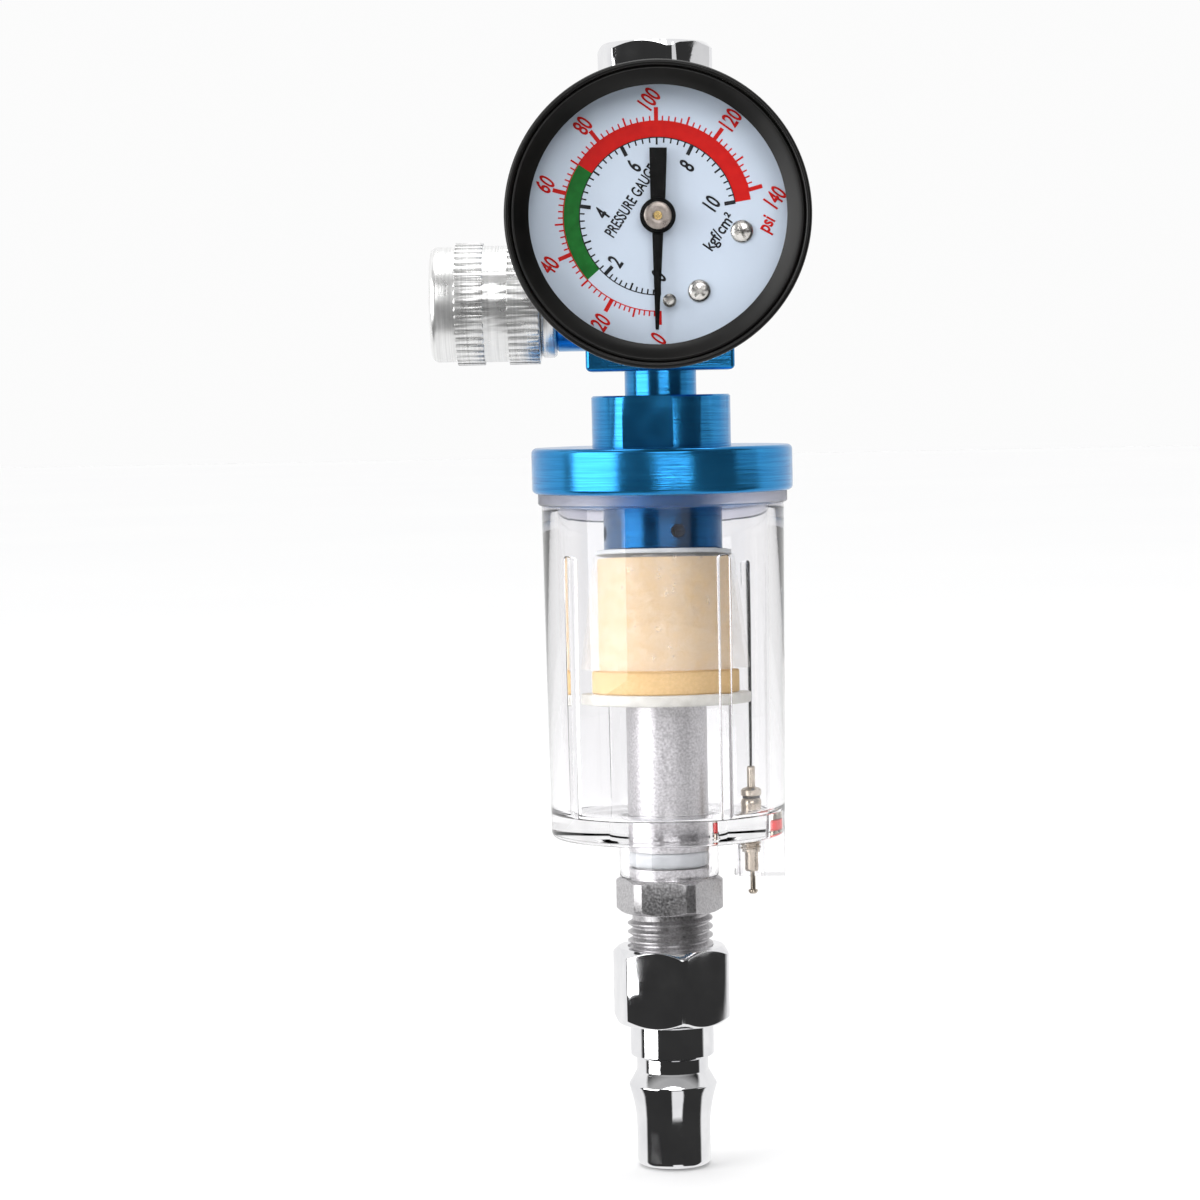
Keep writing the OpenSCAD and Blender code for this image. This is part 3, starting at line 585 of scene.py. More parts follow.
screw = {"head": 2.95, "headHigh": 3.4, "edge": 0.3, "shank": 1.5, "socket": 2.5, "depth": 1.6}
low, high = span("knob_screw")
end = -low.x
screwPart = turned([(0, -high.x), (screw["shank"], -high.x),
                    (screw["shank"], end - screw["headHigh"]),
                    (screw["head"], end - screw["headHigh"]), (screw["head"], end - screw["edge"]),
                    (screw["head"] - screw["edge"], end), (0, end)])
combine(screwPart, post(screw["socket"] / sqrt(3), end - screw["depth"], end + 1, sides=6),
        "DIFFERENCE")
settle(screwPart, "knobScrew", "knob_group", steel, ["knob_screw"], knobAxis)
print("block and knob made")

# Gauge case: a thin black cup
case = {"wall": 0.9, "round": 1.6, "hole": 5.0}
radius = (caseHigh.x - caseLow.x) / 2
back, front = -caseHigh.y, -caseLow.y
outline = [(case["hole"], back)]
outline += arc(radius - case["round"], back + case["round"], case["round"], -90, 0)
outline += [(radius, front), (radius - case["wall"], front)]
outline += arc(radius - case["round"], back + case["round"], case["round"] - case["wall"], 0, -90)
outline += [(case["hole"], back + case["wall"])]
casePart = turned(outline, steps=128)
settle(casePart, "gaugeCase", "housing", blackEnamel, ["gauge_case"], gaugeAxis)

# Bezel: rolled rim, a groove, a second rim and a face that slopes in to the window
bezel = {"window": 18.2, "rim": 0.45, "wall": 1.05, "ledge": 1.8}
radius = (bezelHigh.x - bezelLow.x) / 2
foot, front = -bezelHigh.y, -bezelLow.y
rim = bezel["rim"]
outline = [(radius - bezel["wall"], foot), (radius - 0.3, foot), (radius, foot + 0.3)]
outline += arc(radius - rim, front - rim, rim, 0, 150, 7)
outline += [(radius - 2 * rim, front - rim - 0.1)]
outline += arc(radius - 2.9 * rim, front - rim - 0.15, rim * 0.75, 20, 110, 5)
outline += [(bezel["window"] + 0.35, front - 1.35), (bezel["window"], front - 1.6),
            (bezel["window"], front - bezel["ledge"]),
            (radius - bezel["wall"], front - bezel["ledge"])]
bezelPart = turned(outline, steps=160)
settle(bezelPart, "gaugeBezel", "housing", blackGloss, ["gauge_bezel"], gaugeAxis,
       50)

low, high = span("gauge_lens")
radius = (high.x - low.x) / 2
lensPart = turned([(0, -high.y), (radius - 0.2, -high.y), (radius, -high.y + 0.2),
                   (radius, -low.y - 0.2), (radius - 0.2, -low.y), (0, -low.y)], steps=128)
settle(lensPart, "gaugeLens", "housing", clearLens, ["gauge_lens"], gaugeAxis)

# Dial plate, with the print as thin layers of ink on it
dial = {"ink": 0.02, "hole": 1.0, "band": (11.2, 13.4), "green": (49, 124), "red": (124, 261),
        "psiSteps": 70, "psiMajor": (13.4, 15.4, 0.6), "psiMedium": (13.4, 14.7, 0.28),
        "psiMinor": (13.4, 14.2, 0.22), "kgfSteps": 50, "kgfMajor": (9.6, 11.2, 0.55),
        "kgfMedium": (10.1, 11.2, 0.28), "kgfMinor": (10.4, 11.2, 0.22), "tilt": 54,
        "psiLine": (13.38, 13.54), "kgfLine": (11.06, 11.22),
        "psiNumbers": (16.8, 2.45, 0.6), "kgfNumbers": (8.5, 2.3, 0.62)}
radius = (dialHigh.x - dialLow.x) / 2
back, face = -dialHigh.y, -dialLow.y
plate = turned([(dial["hole"], back), (radius - 0.1, back), (radius, back + 0.1),
                (radius, face - 0.1), (radius - 0.1, face), (dial["hole"], face)], steps=128)
settle(plate, "dialPlate", "housing", dialWhite, ["gauge_dial"], gaugeAxis)


def onDial(r, angle):
    # Angles run clockwise from straight down.
    a = radians(angle)
    return (-r * sin(a), -r * cos(a))


def psiAngle(value):
    return value * 1.5 if value < 20 else 30 + (value - 20) * 1.875


def kgfAngle(value):
    stops = [0, 43.4, 98.4, 153.3, 207, 260.7]
    i = min(int(value // 2), 4)
    return stops[i] + (stops[i + 1] - stops[i]) * (value - 2 * i) / 2


def inkArc(rIn, rOut, start, end):
    steps = max(2, round((end - start) / 3))
    points = [onDial(rOut, start + (end - start) * i / steps) for i in range(steps + 1)]
    points += [onDial(rIn, end + (start - end) * i / steps) for i in range(steps + 1)]
    return flatShape(points, dial["ink"], face)


def inkTicks(count, angleOf, perStep, styles):
    # styles: (every how many steps, (inner radius, outer radius, width)), the longest first
    parts = []
    for i in range(count + 1):
        rIn, rOut, width = next(style for every, style in styles if i % every == 0)
        angle = angleOf(i * perStep)
        x, y = onDial((rIn + rOut) / 2, angle)
        deselectAll()
        bpy.ops.mesh.primitive_cube_add(size=1, location=(x, y, face + dial["ink"] / 2),
                                        rotation=(0, 0, -radians(angle)),
                                        scale=(width, rOut - rIn, dial["ink"]))
        bpy.ops.object.transform_apply(location=True, rotation=True, scale=True)
        parts.append(bpy.context.object)
    return joinTo(parts[0], *parts[1:])


def inkText(words, at, height, tilt, squeeze, bold=0.08):
    deselectAll()
    bpy.ops.object.text_add(location=(0, 0, 0))
    part = bpy.context.object
    part.data.body = words
    part.data.size = height / 0.72
    part.data.align_x = "CENTER"
    part.data.align_y = "CENTER"
    part.data.bevel_depth = bold      # thickens the strokes
    part.data.bevel_resolution = 0
    part.data.extrude = dial["ink"] / 2
    bpy.ops.object.convert(target="MESH")
    part.scale.x = squeeze
    bpy.ops.object.transform_apply(location=False, rotation=False, scale=True)
    part.rotation_euler.z = radians(tilt)
    part.location = (at[0], at[1], face + dial["ink"] / 2)
    bpy.ops.object.transform_apply(location=True, rotation=True, scale=False)
    return part


def printed(part, name, ink):
    settle(part, name, "housing", ink, axis=gaugeAxis)


for colour, ink in (("green", inkGreen), ("red", inkRed)):
    printed(inkArc(*dial["band"], *dial[colour]), colour + "Band", ink)
ticks = inkTicks(dial["psiSteps"], psiAngle, 2,
                 [(10, dial["psiMajor"]), (5, dial["psiMedium"]), (1, dial["psiMinor"])])
joinTo(ticks, inkArc(*dial["psiLine"], 0, psiAngle(140)))
printed(ticks, "psiTicks", inkRed)
ticks = inkTicks(dial["kgfSteps"], kgfAngle, 0.2,
                 [(10, dial["kgfMajor"]), (5, dial["kgfMedium"]), (1, dial["kgfMinor"])])
joinTo(ticks, inkArc(*dial["kgfLine"], 0, kgfAngle(10)))
printed(ticks, "kgfTicks", inkBlack)
# The print isn't even, so each number is shifted a little.
psiNudge = {0: (-0.1, -0.6), 20: (0.1, -0.4), 40: (0.1, -0.3), 60: (0.4, 0.4), 80: (-0.1, -0.4),
            100: (-0.9, -0.4), 120: (0.35, -0.1), 140: (0.5, -2.2)}
kgfNudge = {0: (0.1, 0), 2: (-0.2, -0.2), 4: (0.6, -0.8), 6: (0.65, -0.5), 8: (0.5, -0.6),
            10: (-0.7, 0.1)}


def numberAt(value, angle, nudge, r, height, squeeze):
    x, y = onDial(r, angle)
    dx, dy = nudge.get(value, (0, 0))
    return inkText(str(value), (x + dx, y + dy), height, dial["tilt"], squeeze)


numbers = [numberAt(v, psiAngle(v), psiNudge, *dial["psiNumbers"]) for v in range(0, 141, 20)]
printed(joinTo(*numbers), "psiNumbers", inkRed)
numbers = [numberAt(v, kgfAngle(v), kgfNudge, *dial["kgfNumbers"]) for v in range(0, 11, 2)]
printed(joinTo(*numbers), "kgfNumbers", inkBlack)
words = [inkText("PRESSURE GAUGE", (-3.7, 2.2), 1.65, 56, 0.64, 0.05),
         inkText("kgf/cm²", (8.7, -2.4), 1.75, dial["tilt"], 0.82, 0.05)]
printed(joinTo(*words), "dialWords", inkBlack)
printed(inkText("psi", (15.4, -1.4), 2.0, 60, 0.72), "psiWord", inkRed)
print("dial made")

# Dial screws with a domed head and a cross recess
dialScrew = {"head": 1.65, "rise": 0.75, "brim": 0.2, "shank": 0.8, "length": 4.5, "slot": 0.42,
             "at": [(11.9, -2.4), (5.7, -10.7)], "turn": [20, 48]}
screws = []
for at, turn in zip(dialScrew["at"], dialScrew["turn"]):
    shankFoot, brim = face - dialScrew["length"], face + dialScrew["brim"]
    outline = [(0, shankFoot), (dialScrew["shank"], shankFoot), (dialScrew["shank"], face),
               (dialScrew["head"], face), (dialScrew["head"], brim)]
    dome = dialScrew["rise"] - dialScrew["brim"]
    outline += [(dialScrew["head"] * cos(radians(a)),
                 brim + dome * sin(radians(a)))
                for a in (25, 45, 62, 78)] + [(0, face + dialScrew["rise"])]
    one = turned(outline, steps=64)
    width = dialScrew["slot"] / 2
    for cross in (0, 90):
        recess = bar((-1.0, -width, face + 0.3), (1.0, width, face + 2), turn + cross)
        combine(one, recess, "DIFFERENCE")
    screws.append(moved(one, at))
settle(joinTo(*screws), "dialScrews", "housing", steel, ["dial_screws"], gaugeAxis)

stop = {"radius": 0.95, "at": (1.45, -12.0), "rise": 2.1, "peg": 0.5, "pegDeep": 0.8}
pegFoot, stopTop = face - stop["pegDeep"], face + stop["rise"]
stopPart = turned([(0, pegFoot), (stop["peg"], pegFoot), (stop["peg"], face),
                   (stop["radius"], face), (stop["radius"], stopTop - 0.3),
                   (stop["radius"] - 0.35, stopTop), (0, stopTop)], steps=48)
settle(moved(stopPart, stop["at"]), "zeroStop", "housing", steel, ["zero_stop_pin"],
       gaugeAxis)

# Pointer and its hub
pointer = {"needle": 16.1, "tail": 9.6, "tip": 0.25, "root": 0.8, "waist": 1.05, "end": 1.25,
           "thick": 0.3, "lean": -1.3}
low, high = span("pointer")
sheet = -high.y
pointerPart = flatShape([(pointer["root"], -2), (pointer["tip"], -pointer["needle"]),
                         (-pointer["tip"], -pointer["needle"]), (-pointer["root"], -2),
                         (-pointer["waist"], 2), (-pointer["end"], pointer["tail"]),
                         (pointer["end"], pointer["tail"]), (pointer["waist"], 2)],
                        pointer["thick"], sheet)
pointerPart.rotation_euler.z = radians(pointer["lean"])
bpy.ops.object.transform_apply(location=False, rotation=True, scale=False)
soften(pointerPart, 0.06)
settle(pointerPart, "pointerNeedle", "pointer_group", pointerPaint, ["pointer"],
       gaugeAxis)
hub = {"radius": 2.55, "disc": 1.95, "pin": 0.6}
low, high = span("pointer_hub")
back, front = -high.y, -low.y
hubPart = turned([(hub["pin"], back), (1.4, back), (1.4, sheet), (1.0, sheet),
                  (1.0, sheet + pointer["thick"]), (hub["radius"], sheet + pointer["thick"])]
                 + arc(hub["radius"] - 0.5, front - 0.75, 0.5, 0, 90)
                 + [(hub["disc"], front - 0.25), (hub["pin"], front - 0.25)], steps=64)
settle(hubPart, "pointerHub", "pointer_group", pointerPaint, ["pointer_hub"],
       gaugeAxis)
cover = turned([(hub["pin"], front - 0.25), (hub["disc"], front - 0.25), (hub["disc"], front - 0.1),
                (hub["disc"] - 0.15, front), (hub["pin"] + 0.25, front), (hub["pin"], front - 0.1)],
               steps=64)
settle(cover, "hubDisc", "pointer_group", agedNickel, axis=gaugeAxis)
print("gauge made")

# Filter cap: collar with two flats, flange and boss
cap = {"collar": 10.65, "collarHigh": 7.8, "across": 19.8, "turn": -12, "flange": 20.0,
       "flangeHigh": 7.0, "round": 0.8, "boss": 9.15, "bore": 5.5, "through": 3, "edge": 0.25,
       "recess": (15.5, 19.15, 0.6), "hole": 1.1, "holeUp": 2.7, "holeTurn": -76}
collarTop = capHigh.z
flangeTop = collarTop - cap["collarHigh"]
flangeFoot = flangeTop - cap["flangeHigh"]
bossFoot = capLow.z
size = cap["round"]
recessIn, recessOut, recessDeep = cap["recess"]
outline = [(cap["bore"], collarTop), (cap["collar"] - cap["edge"], collarTop),
           (cap["collar"], collarTop - cap["edge"]), (cap["collar"], flangeTop)]
outline += arc(cap["flange"] - size, flangeTop - size, size, 90, 0, 8)
outline += arc(cap["flange"] - size, flangeFoot + size, size, 0, -90, 8)
outline += [(recessOut, flangeFoot), (recessOut, flangeFoot + recessDeep),
            (recessIn, flangeFoot + recessDeep), (recessIn, flangeFoot),
            (cap["boss"], flangeFoot), (cap["boss"], bossFoot + cap["edge"]),
            (cap["boss"] - cap["edge"], bossFoot), (cap["through"], bossFoot),
            (cap["through"], flangeTop - 0.6), (cap["bore"], flangeTop - 0.6)]
capPart = turned(outline, steps=128)
for side in (0, 180):
    flat = bar((-15, -20, flangeTop), (15, -cap["across"] / 2, collarTop + 1), cap["turn"] + side)
    combine(capPart, flat, "DIFFERENCE")
for k in range(4):
    drill = post(cap["hole"], 2.5, 11, turn=(0, quarter, 0))
    drill.rotation_euler.z = radians(cap["holeTurn"] + 90 * k)
    drill.location.z = bossFoot + cap["holeUp"]
    combine(capPart, drill, "DIFFERENCE")
soften(capPart, 0.1, 2, 32)
settle(capPart, "filterCap", "housing", blueAnodised, ["filter_cap"], smooth=18)

# Bowl: clear wall with ribs, a thick base, a neck and the drain boss
bowl = {"rim": 19.1, "rimDrop": 1.75, "top": 18.6, "foot": 18.0, "deep": 52.8, "inner": 15.8,
        "base": 3.6, "neck": 7.65, "bore": 6.25, "rib": 1.0, "ribHalf": 0.7, "ribTurn": -57.4,
        "ribDrop": 1.4, "boss": 2.9}
top, foot = bowlHigh.z, flangeFoot - bowl["deep"]
bottom, floorTop = bowlLow.z, foot + bowl["base"]
rimFoot = flangeFoot - bowl["rimDrop"]
outline = [(bowl["inner"] + 0.5, top), (bowl["rim"] - 0.2, top), (bowl["rim"], top - 0.2),
           (bowl["rim"], rimFoot + 0.2), (bowl["rim"] - 0.2, rimFoot),
           (bowl["top"] + 0.1, rimFoot), (bowl["top"], rimFoot - 0.2)]
outline += arc(bowl["foot"] - 0.7, foot + 0.7, 0.7, 0, -90)
outline += [(bowl["neck"] + 0.3, foot), (bowl["neck"], foot - 0.3),
            (bowl["neck"], bottom + 0.25), (bowl["neck"] - 0.25, bottom),
            (bowl["bore"], bottom), (bowl["bore"], floorTop)]
outline += arc(bowl["inner"] - 1.2, floorTop + 1.2, 1.2, -90, 0)
bowlPart = turned(outline, steps=128)
ribMiddle = bowl["inner"] + 0.05
for k in range(4):
    angle = radians(bowl["ribTurn"] + 90 * k)
    rib = bar((-bowl["rib"], -bowl["ribHalf"], floorTop - 0.5),
              (bowl["rib"], bowl["ribHalf"], bossFoot - bowl["ribDrop"]))
    soften(rib, 0.65, 6, 80)
    rib.rotation_euler.z = angle + quarter
    rib.location = (ribMiddle * cos(angle), ribMiddle * sin(angle), 0)
    combine(bowlPart, rib, "UNION")
boss = bar((drainX, -bowl["boss"], bottom + 0.05), (22, bowl["boss"], foot + 1))
combine(boss, post(bowl["boss"], bottom + 0.05, foot + 1, (drainX, 0)), "UNION")
combine(boss, post(bowl["foot"] - 0.05, bottom - 2, foot + 2, sides=128), "INTERSECT")
soften(boss, 0.2, 2, 40)
combine(bowlPart, boss, "UNION")
drillPart = turned([(0, floorTop + 1), (1.8, floorTop + 1), (1.8, floorTop - 1.1),
                    (1.9, floorTop - 1.1), (1.95, foot - 0.45), (1.95, bottom - 1),
                    (0, bottom - 1)], steps=48)
drillPart.location.x = drainX
combine(bowlPart, drillPart, "DIFFERENCE")
settle(bowlPart, "clearBowl", "housing", clearBowl, ["bowl"])
print("cap and bowl made")

# Filter: washer, bell shroud, sintered element and baffle disc
filterSet = {"washer": 10.4, "element": 10.2, "band": 11.3, "bandHigh": 3.6, "inner": 6.8,
             "disc": 13.05}
washerLow, washerHigh = span("filter_washer")
washer = ring(3, filterSet["washer"], washerLow.z, washerHigh.z)
soften(washer, 0.1)
settle(washer, "filterWasher", "housing", whiteNylon, ["filter_washer"])
low, high = span("filter_shroud")
shroud = turned([(8, high.z), (10.6, high.z), (10.85, high.z - 0.25), (11.6, high.z - 6),
                 (13, low.z), (12.4, low.z), (11.0, high.z - 6.2), (10.25, high.z - 0.65),
                 (8, high.z - 0.6)])
settle(shroud, "filterShroud", "housing", milkyShroud, ["filter_shroud"])
low, high = span("filter_element")
ledge = low.z + filterSet["bandHigh"]
element = turned([(filterSet["inner"], high.z), (filterSet["element"] - 0.1, high.z),
                  (filterSet["element"], high.z - 0.2), (filterSet["element"], ledge),
                  (filterSet["band"] - 0.2, ledge), (filterSet["band"], ledge - 0.2),
                  (filterSet["band"], low.z + 0.2), (filterSet["band"] - 0.2, low.z),
                  (filterSet["inner"], low.z)])
settle(element, "sinteredFilter", "housing", sinteredElement,
       ["filter_element"])
low, high = span("baffle_disc")
disc = ring(5, filterSet["disc"], low.z, high.z)
soften(disc, 0.25, 3)
settle(disc, "baffleDisc", "housing", milkyDisc, ["baffle_disc"])

# Tie tube with its hexagon and the thread above the plug
tube = {"radius": 6.2, "slim": 5.0, "bore": 3.75, "across": 15, "corner": 8.25, "turn": -7,
        "crest": 6.58, "pitch": 1.337, "hex": 5.4, "sealSeat": 5.2, "sealSpan": (1.6, 4.2)}
shoulder = span("baffle_disc")[0].z
hexTop = bowlLow.z
hexFoot = hexTop - tube["hex"]
seatLow, seatHigh = [hexTop + h for h in tube["sealSpan"]]
outline = [(tube["bore"], tubeLow.z), (tube["crest"] - 1.0, tubeLow.z),
           (tube["crest"] - 0.75, tubeLow.z + 0.5), (tube["crest"] - 0.75, hexFoot + 1),
           (tube["radius"], hexFoot + 1), (tube["radius"], seatLow), (tube["sealSeat"], seatLow),
           (tube["sealSeat"], seatHigh), (tube["radius"], seatHigh),
           (tube["radius"], shoulder - 0.3),
           (tube["radius"] - 0.3, shoulder), (tube["slim"], shoulder),
           (tube["slim"], bossFoot - 0.7), (3, bossFoot - 0.7), (3, tubeHigh.z), (2, tubeHigh.z),
           (2, shoulder + 2), (tube["bore"], shoulder + 2)]
tubePart = turned(outline)
collar = hexBar(tube["across"], hexFoot, hexTop, tube["turn"], tube["corner"])
soften(collar, 0.12, 2, 24)
combine(collar, post(tube["radius"] - 0.5, hexFoot - 1, hexTop + 1, sides=96), "DIFFERENCE")
ridge = threadRidge(tube["crest"] - 0.85, tube["crest"], tube["pitch"], tubeLow.z + 0.3,
                    hexFoot - 0.2)
joinTo(tubePart, collar, ridge)
settle(tubePart, "tieTube", "housing", zincPlate, ["tie_tube"])
low, high = span("neck_seal")
seal = turned([(tube["sealSeat"], low.z)] + arc(tube["radius"] - 0.9, low.z + 0.9, 0.93, -90, 0)
              + arc(tube["radius"] - 0.9, high.z - 0.9, 0.93, 0, 90)
              + [(tube["sealSeat"], high.z)])
settle(seal, "neckSeal", "housing", whiteNylon, ["neck_seal"])
print("filter and tube made")

# Drain valve
drain = {"wire": 0.4, "bore": 0.6, "spool": 0.65, "flange": 0.9}
z = floorTop                          # the valve's heights are counted from the bowl's floor
bodyPart = turned([(drain["bore"], z + 2), (1.35, z + 2), (1.6, z + 1.75), (1.7, z + 1.2),
                   (1.62, z + 0.3), (1.7, z - 0.3), (1.7, z - 1), (1.3, z - 1.1),
                   (1.3, z - 2.8), (1.75, z - 2.8), (1.75, foot - 0.7), (1.6, foot - 0.75),
                   (1.6, foot - 2.9), (1.25, foot - 2.95), (1.25, foot - 5.7), (1.1, foot - 5.9),
                   (drain["wire"] + 0.05, foot - 5.9), (drain["wire"] + 0.05, foot - 3.5),
                   (1.0, foot - 3.5), (1.0, z + 1.2), (drain["bore"], z + 1.2)], steps=48)
joinTo(bodyPart, threadRidge(1.55, 1.93, 0.6, foot - 2.9, foot - 0.75))
settle(bodyPart, "drainBody", "housing", nickelBrass, ["drain_body"], drainAxis)
low, high = span("drain_seal")
sealPart = turned([(1.3, low.z)] + arc(1.5, low.z + 0.4, 0.4, -60, 0, 3)
                  + arc(1.5, high.z - 0.4, 0.4, 0, 60, 3) + [(1.3, high.z)], steps=48)
settle(sealPart, "drainSeal", "housing", redSeal, ["drain_seal"], drainAxis)
low, high = span("drain_pin")
pinPart = turned([(0, high.z), (0.5, high.z), (drain["spool"], high.z - 0.2),
                  (drain["spool"], z + 3.8),
                  (1.3, z + 3.6), (1.65, z + 3.3), (1.65, z + 2.5), (1.55, z + 2.4),
                  (drain["wire"], z + 2.4), (drain["wire"], z - 3.55), (drain["flange"], z - 3.55),
                  (drain["flange"], z - 4.05), (drain["wire"], z - 4.05),
                  (drain["wire"], low.z + 0.7),
                  (0.7, low.z + 0.6), (0.75, low.z + 0.35), (0.5, low.z), (0, low.z)], steps=32)
settle(pinPart, "drainPin", "drain", nickelBrass, ["drain_pin"], drainAxis)
# The spring's top stays on the body's step while the pin comes up and squeezes it.
spring = {"radius": 0.75, "wire": 0.11, "turns": 6, "sides": 10, "stroke": 1.2}
low, high = span("drain_spring")
wire = [(spring["radius"] + spring["wire"] * cos(tau * i / spring["sides"]), 0,
         low.z + spring["wire"] * (1 + sin(tau * i / spring["sides"])))
        for i in range(spring["sides"])]
length = high.z - low.z
springPart = coiled(wire, spring["turns"], length - 2 * spring["wire"], 24)
settle(springPart, "drainSpring", "housing", steel, ["drain_spring"], drainAxis)
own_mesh(springPart)
print("drain made")

# Quick plug
plug = {"across": 16.5, "turn": -17.5, "hex": 11.9, "bore": 3.75, "tip": 5.65, "barrel": 6.45,
        "barrelHigh": 5.1, "groove": 5.55, "grooveAt": 7.7, "crest": 6.8, "crestAt": 9.3,
        "tipAt": 16.7, "thread": 6.62, "threadDeep": 9.7, "curveSteps": 12}
top = plugHigh.z
hexFoot = top - plug["hex"]
barrelFoot, grooveFoot = hexFoot - plug["barrelHigh"], hexFoot - plug["grooveAt"]
crestTop, tipTop = hexFoot - plug["crestAt"], hexFoot - plug["tipAt"]
hexPart = hexBar(plug["across"], hexFoot, top, plug["turn"], plug["across"] / sqrt(3) + 0.05,
                 42, 0.9)
soften(hexPart, 0.14, 2, 24)
combine(hexPart, post(plug["thread"], top - plug["threadDeep"], top + 1, sides=96), "DIFFERENCE")
combine(hexPart, post(4.2, hexFoot - 1, top, sides=96), "DIFFERENCE")
outline = [(plug["bore"], hexFoot + 0.6), (plug["barrel"], hexFoot + 0.6)]
outline += [(plug["barrel"], barrelFoot + 0.25), (plug["barrel"] - 0.25, barrelFoot)]
outline += [(plug["groove"] + 0.25, barrelFoot), (plug["groove"], barrelFoot - 0.25),
            (plug["groove"], grooveFoot + 0.3), (plug["groove"] + 0.2, grooveFoot)]
outline += arc(plug["crest"] - 0.35, crestTop - 0.3, 0.35, 60, -15, 4)
for i in range(1, plug["curveSteps"] + 1):
    t = i / plug["curveSteps"]
    outline.append((plug["tip"] + (plug["crest"] - plug["tip"]) * (1 - t) ** 2,
                    crestTop - 0.5 + (tipTop - crestTop + 0.5) * t))
outline += [(plug["tip"], plugLow.z + 0.9)]
outline += arc(plug["tip"] - 0.8, plugLow.z + 0.8, 0.8, 0, -90)
outline += [(plug["bore"] + 0.3, plugLow.z), (plug["bore"], plugLow.z + 0.3)]
shank = turned(outline, steps=128)
joinTo(hexPart, shank)
settle(hexPart, "quickPlug", "housing", chromePlate, ["quick_plug"], smooth=30)
print("plug made")

# The nodes that stay as packed take the material of their slot.
slotLooks = {"nickel_brass": nickelBrass, "steel": steel, "black_rubber": blackRubber,
             "white_nylon": whiteNylon, "sealing_fibre": sealingFibre, "brass": brass,
             "red_seal": redSeal, "bright_aluminium": brightAluminium}
slotOf = {s["node"]: s["material_slot"] for s in frame["record"]["subparts"]}
for name, node in frame["nodes"].items():
    if not node.hide_render:
        node.data.materials.clear()
        node.data.materials.append(slotLooks[slotOf[name]])

# Floor, world and lamps
deselectAll()
ground = {"size": 12, "gap": 0.0003, "rough": 0.8}
bpy.ops.mesh.primitive_plane_add(size=ground["size"],
                                 location=(0, 0, plugLow.z * mm - ground["gap"]))
floor = bpy.context.object
floor.name = "studioFloor"
floor.visible_glossy = False
floorLook, nodes, links, shader, coords = newMaterial("paleFloor")
shade = noise(nodes, links, coords, 3, 2)
links.new(twoTone(nodes, links, shade, (0.905, 0.905, 0.908), (0.915, 0.915, 0.915)),
          shader.inputs["Base Color"])
shader.inputs["Roughness"].default_value = ground["rough"]
floor.data.materials.append(floorLook)

# The room is pale behind the object and above and below it, and dark in front of it.
room = {"pale": 0.95, "dark": 0.035, "roof": 0.55, "glow": 0.97, "frontFrom": (0.03, 0.14),
        "roofFrom": (0.62, 0.8), "floorFrom": (-0.86, -0.76), "windowTop": (-0.46, -0.38),
        "windowAt": 0.17, "windowHalf": 0.2, "windowBlur": 0.06}
world = bpy.data.worlds.new("studio")
bpy.context.scene.world = world
world.use_nodes = True
nodes, links = world.node_tree.nodes, world.node_tree.links
coords = nodes.new("ShaderNodeTexCoord")
way = nodes.new("ShaderNodeSeparateXYZ")
links.new(coords.outputs["Generated"], way.inputs["Vector"])
front = spread(nodes, links, way.outputs["Y"], 1, 0, *room["frontFrom"])
above = spread(nodes, links, way.outputs["Z"], 1, room["roof"], *room["roofFrom"])
below = spread(nodes, links, way.outputs["Z"], 0, 1, *room["windowTop"])
floorward = spread(nodes, links, way.outputs["Z"], 0, 1, *room["floorFrom"])


def reckon(how, first, second=0.0):
    # One step of arithmetic on the room's pattern.
    step = nodes.new("ShaderNodeMath")
    step.operation = how
    for socket, value in zip(step.inputs, (first, second)):
        if isinstance(value, float):
            socket.default_value = value
        else:
            links.new(value, socket)
    return step.outputs[0]


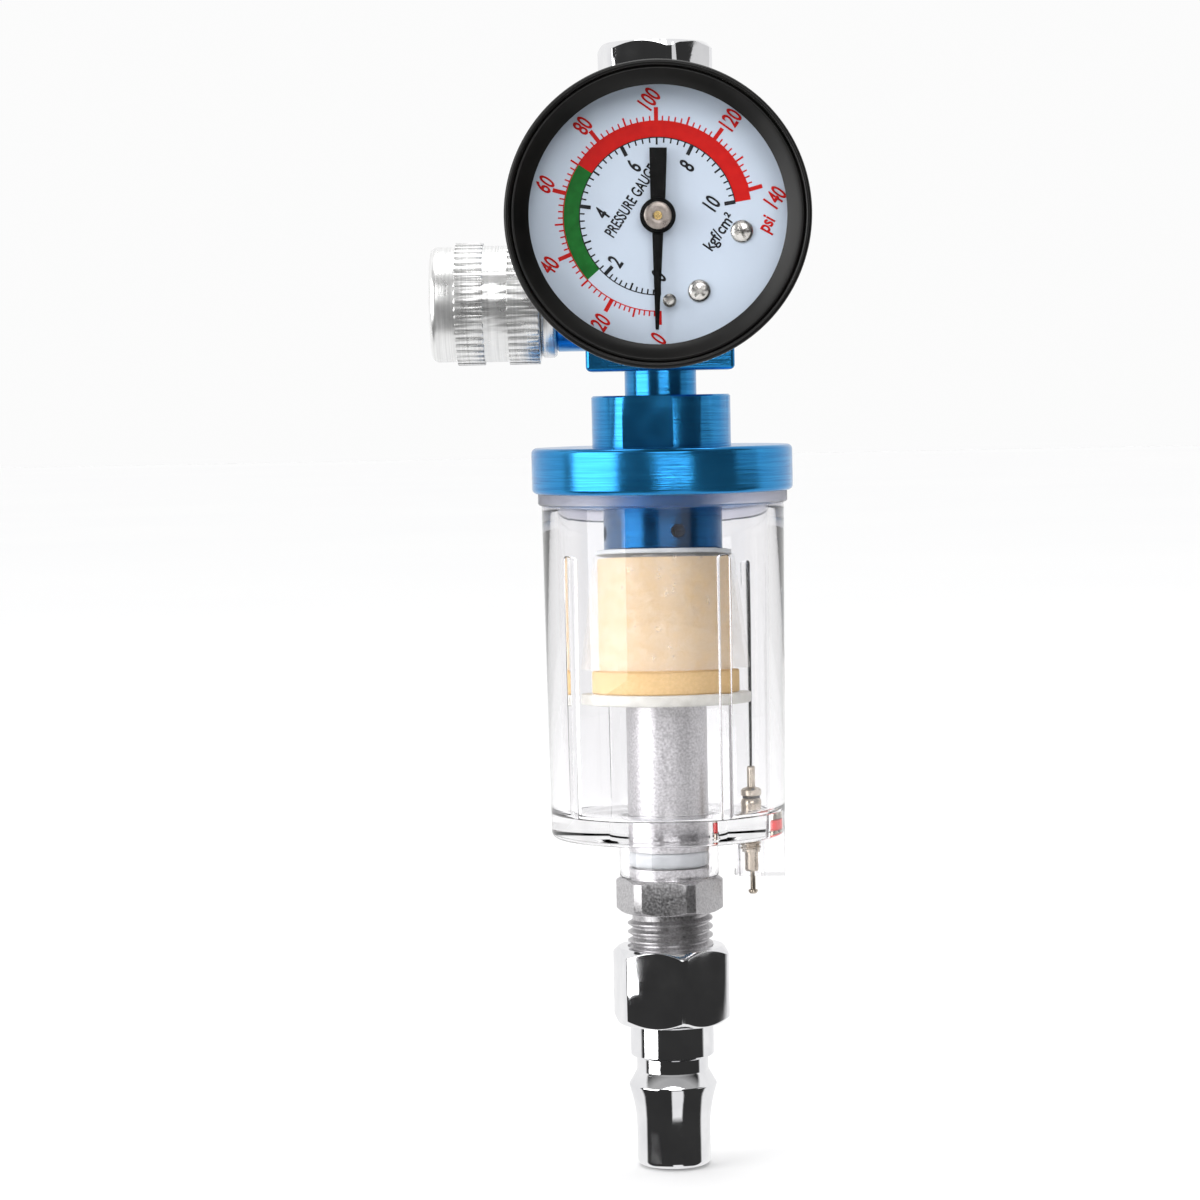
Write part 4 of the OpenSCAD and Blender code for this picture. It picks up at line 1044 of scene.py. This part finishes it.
# A pale window low in front shows as one upright streak on the plug's tip.
aside = reckon("ABSOLUTE", reckon("SUBTRACT", way.outputs["X"], room["windowAt"]))
beside = spread(nodes, links, aside, 0, 1, room["windowHalf"],
                room["windowHalf"] + room["windowBlur"])
window = reckon("MAXIMUM", below, beside)
darkness = reckon("MULTIPLY", reckon("MULTIPLY", front, above),
                  reckon("MULTIPLY", floorward, window))
ray = nodes.new("ShaderNodeLightPath")
tone = twoTone(nodes, links, darkness, (room["pale"],) * 3, (room["dark"],) * 3, 0, 1)
mix = nodes.new("ShaderNodeMix")
mix.data_type = "RGBA"
links.new(ray.outputs["Is Camera Ray"], mix.inputs["Factor"])
links.new(tone, mix.inputs["A"])
mix.inputs["B"].default_value = (*(room["glow"],) * 3, 1)
links.new(mix.outputs["Result"], nodes["Background"].inputs["Color"])

lamps = {
    "leftBox": {"azimuth": -62, "lift": 10, "away": 0.9, "size": (0.73, 0.85), "glow": 4.2},
    "lowBox": {"azimuth": 10, "lift": 0.0, "away": 1.1, "size": (0.6, 0.081), "glow": 6.0,
               "only": ["regulatorBlock", "filterCap"]},
    "rightBox": {"azimuth": 82, "lift": 10, "away": 1.0, "size": (0.5, 0.4), "glow": 0.7},
    "frontBox": {"azimuth": 6, "lift": 26, "away": 1.1, "size": (0.62, 0.56), "glow": 3.2},
}
middle = Vector((0, 0, -0.09))
for name, lamp in lamps.items():
    a, e = radians(lamp["azimuth"]), radians(lamp["lift"])
    toward = Vector((sin(a) * cos(e), -cos(a) * cos(e), sin(e)))
    bpy.ops.object.light_add(type="AREA", location=middle + toward * lamp["away"])
    box = bpy.context.object
    box.name = name
    box.data.shape = "RECTANGLE"
    box.data.size, box.data.size_y = lamp["size"]
    box.data.energy = lamp["glow"] * pi * lamp["size"][0] * lamp["size"][1]
    box.rotation_euler = (-toward).to_track_quat("-Z", "Y").to_euler()
    box.visible_camera = False
    if "only" in lamp:                # a strip that just the blue parts mirror
        lit = bpy.data.collections.new(name + "Lit")
        for piece in lamp["only"]:
            lit.objects.link(bpy.data.objects[piece])
        box.light_linking.receiver_collection = lit
roof = {"glow": 1.6, "softness": 50}
bpy.ops.object.light_add(type="SUN", location=(0, 0, 1))
roofLight = bpy.context.object
roofLight.name = "roofLight"
roofLight.data.energy = roof["glow"]
roofLight.data.angle = radians(roof["softness"])
print("studio made")
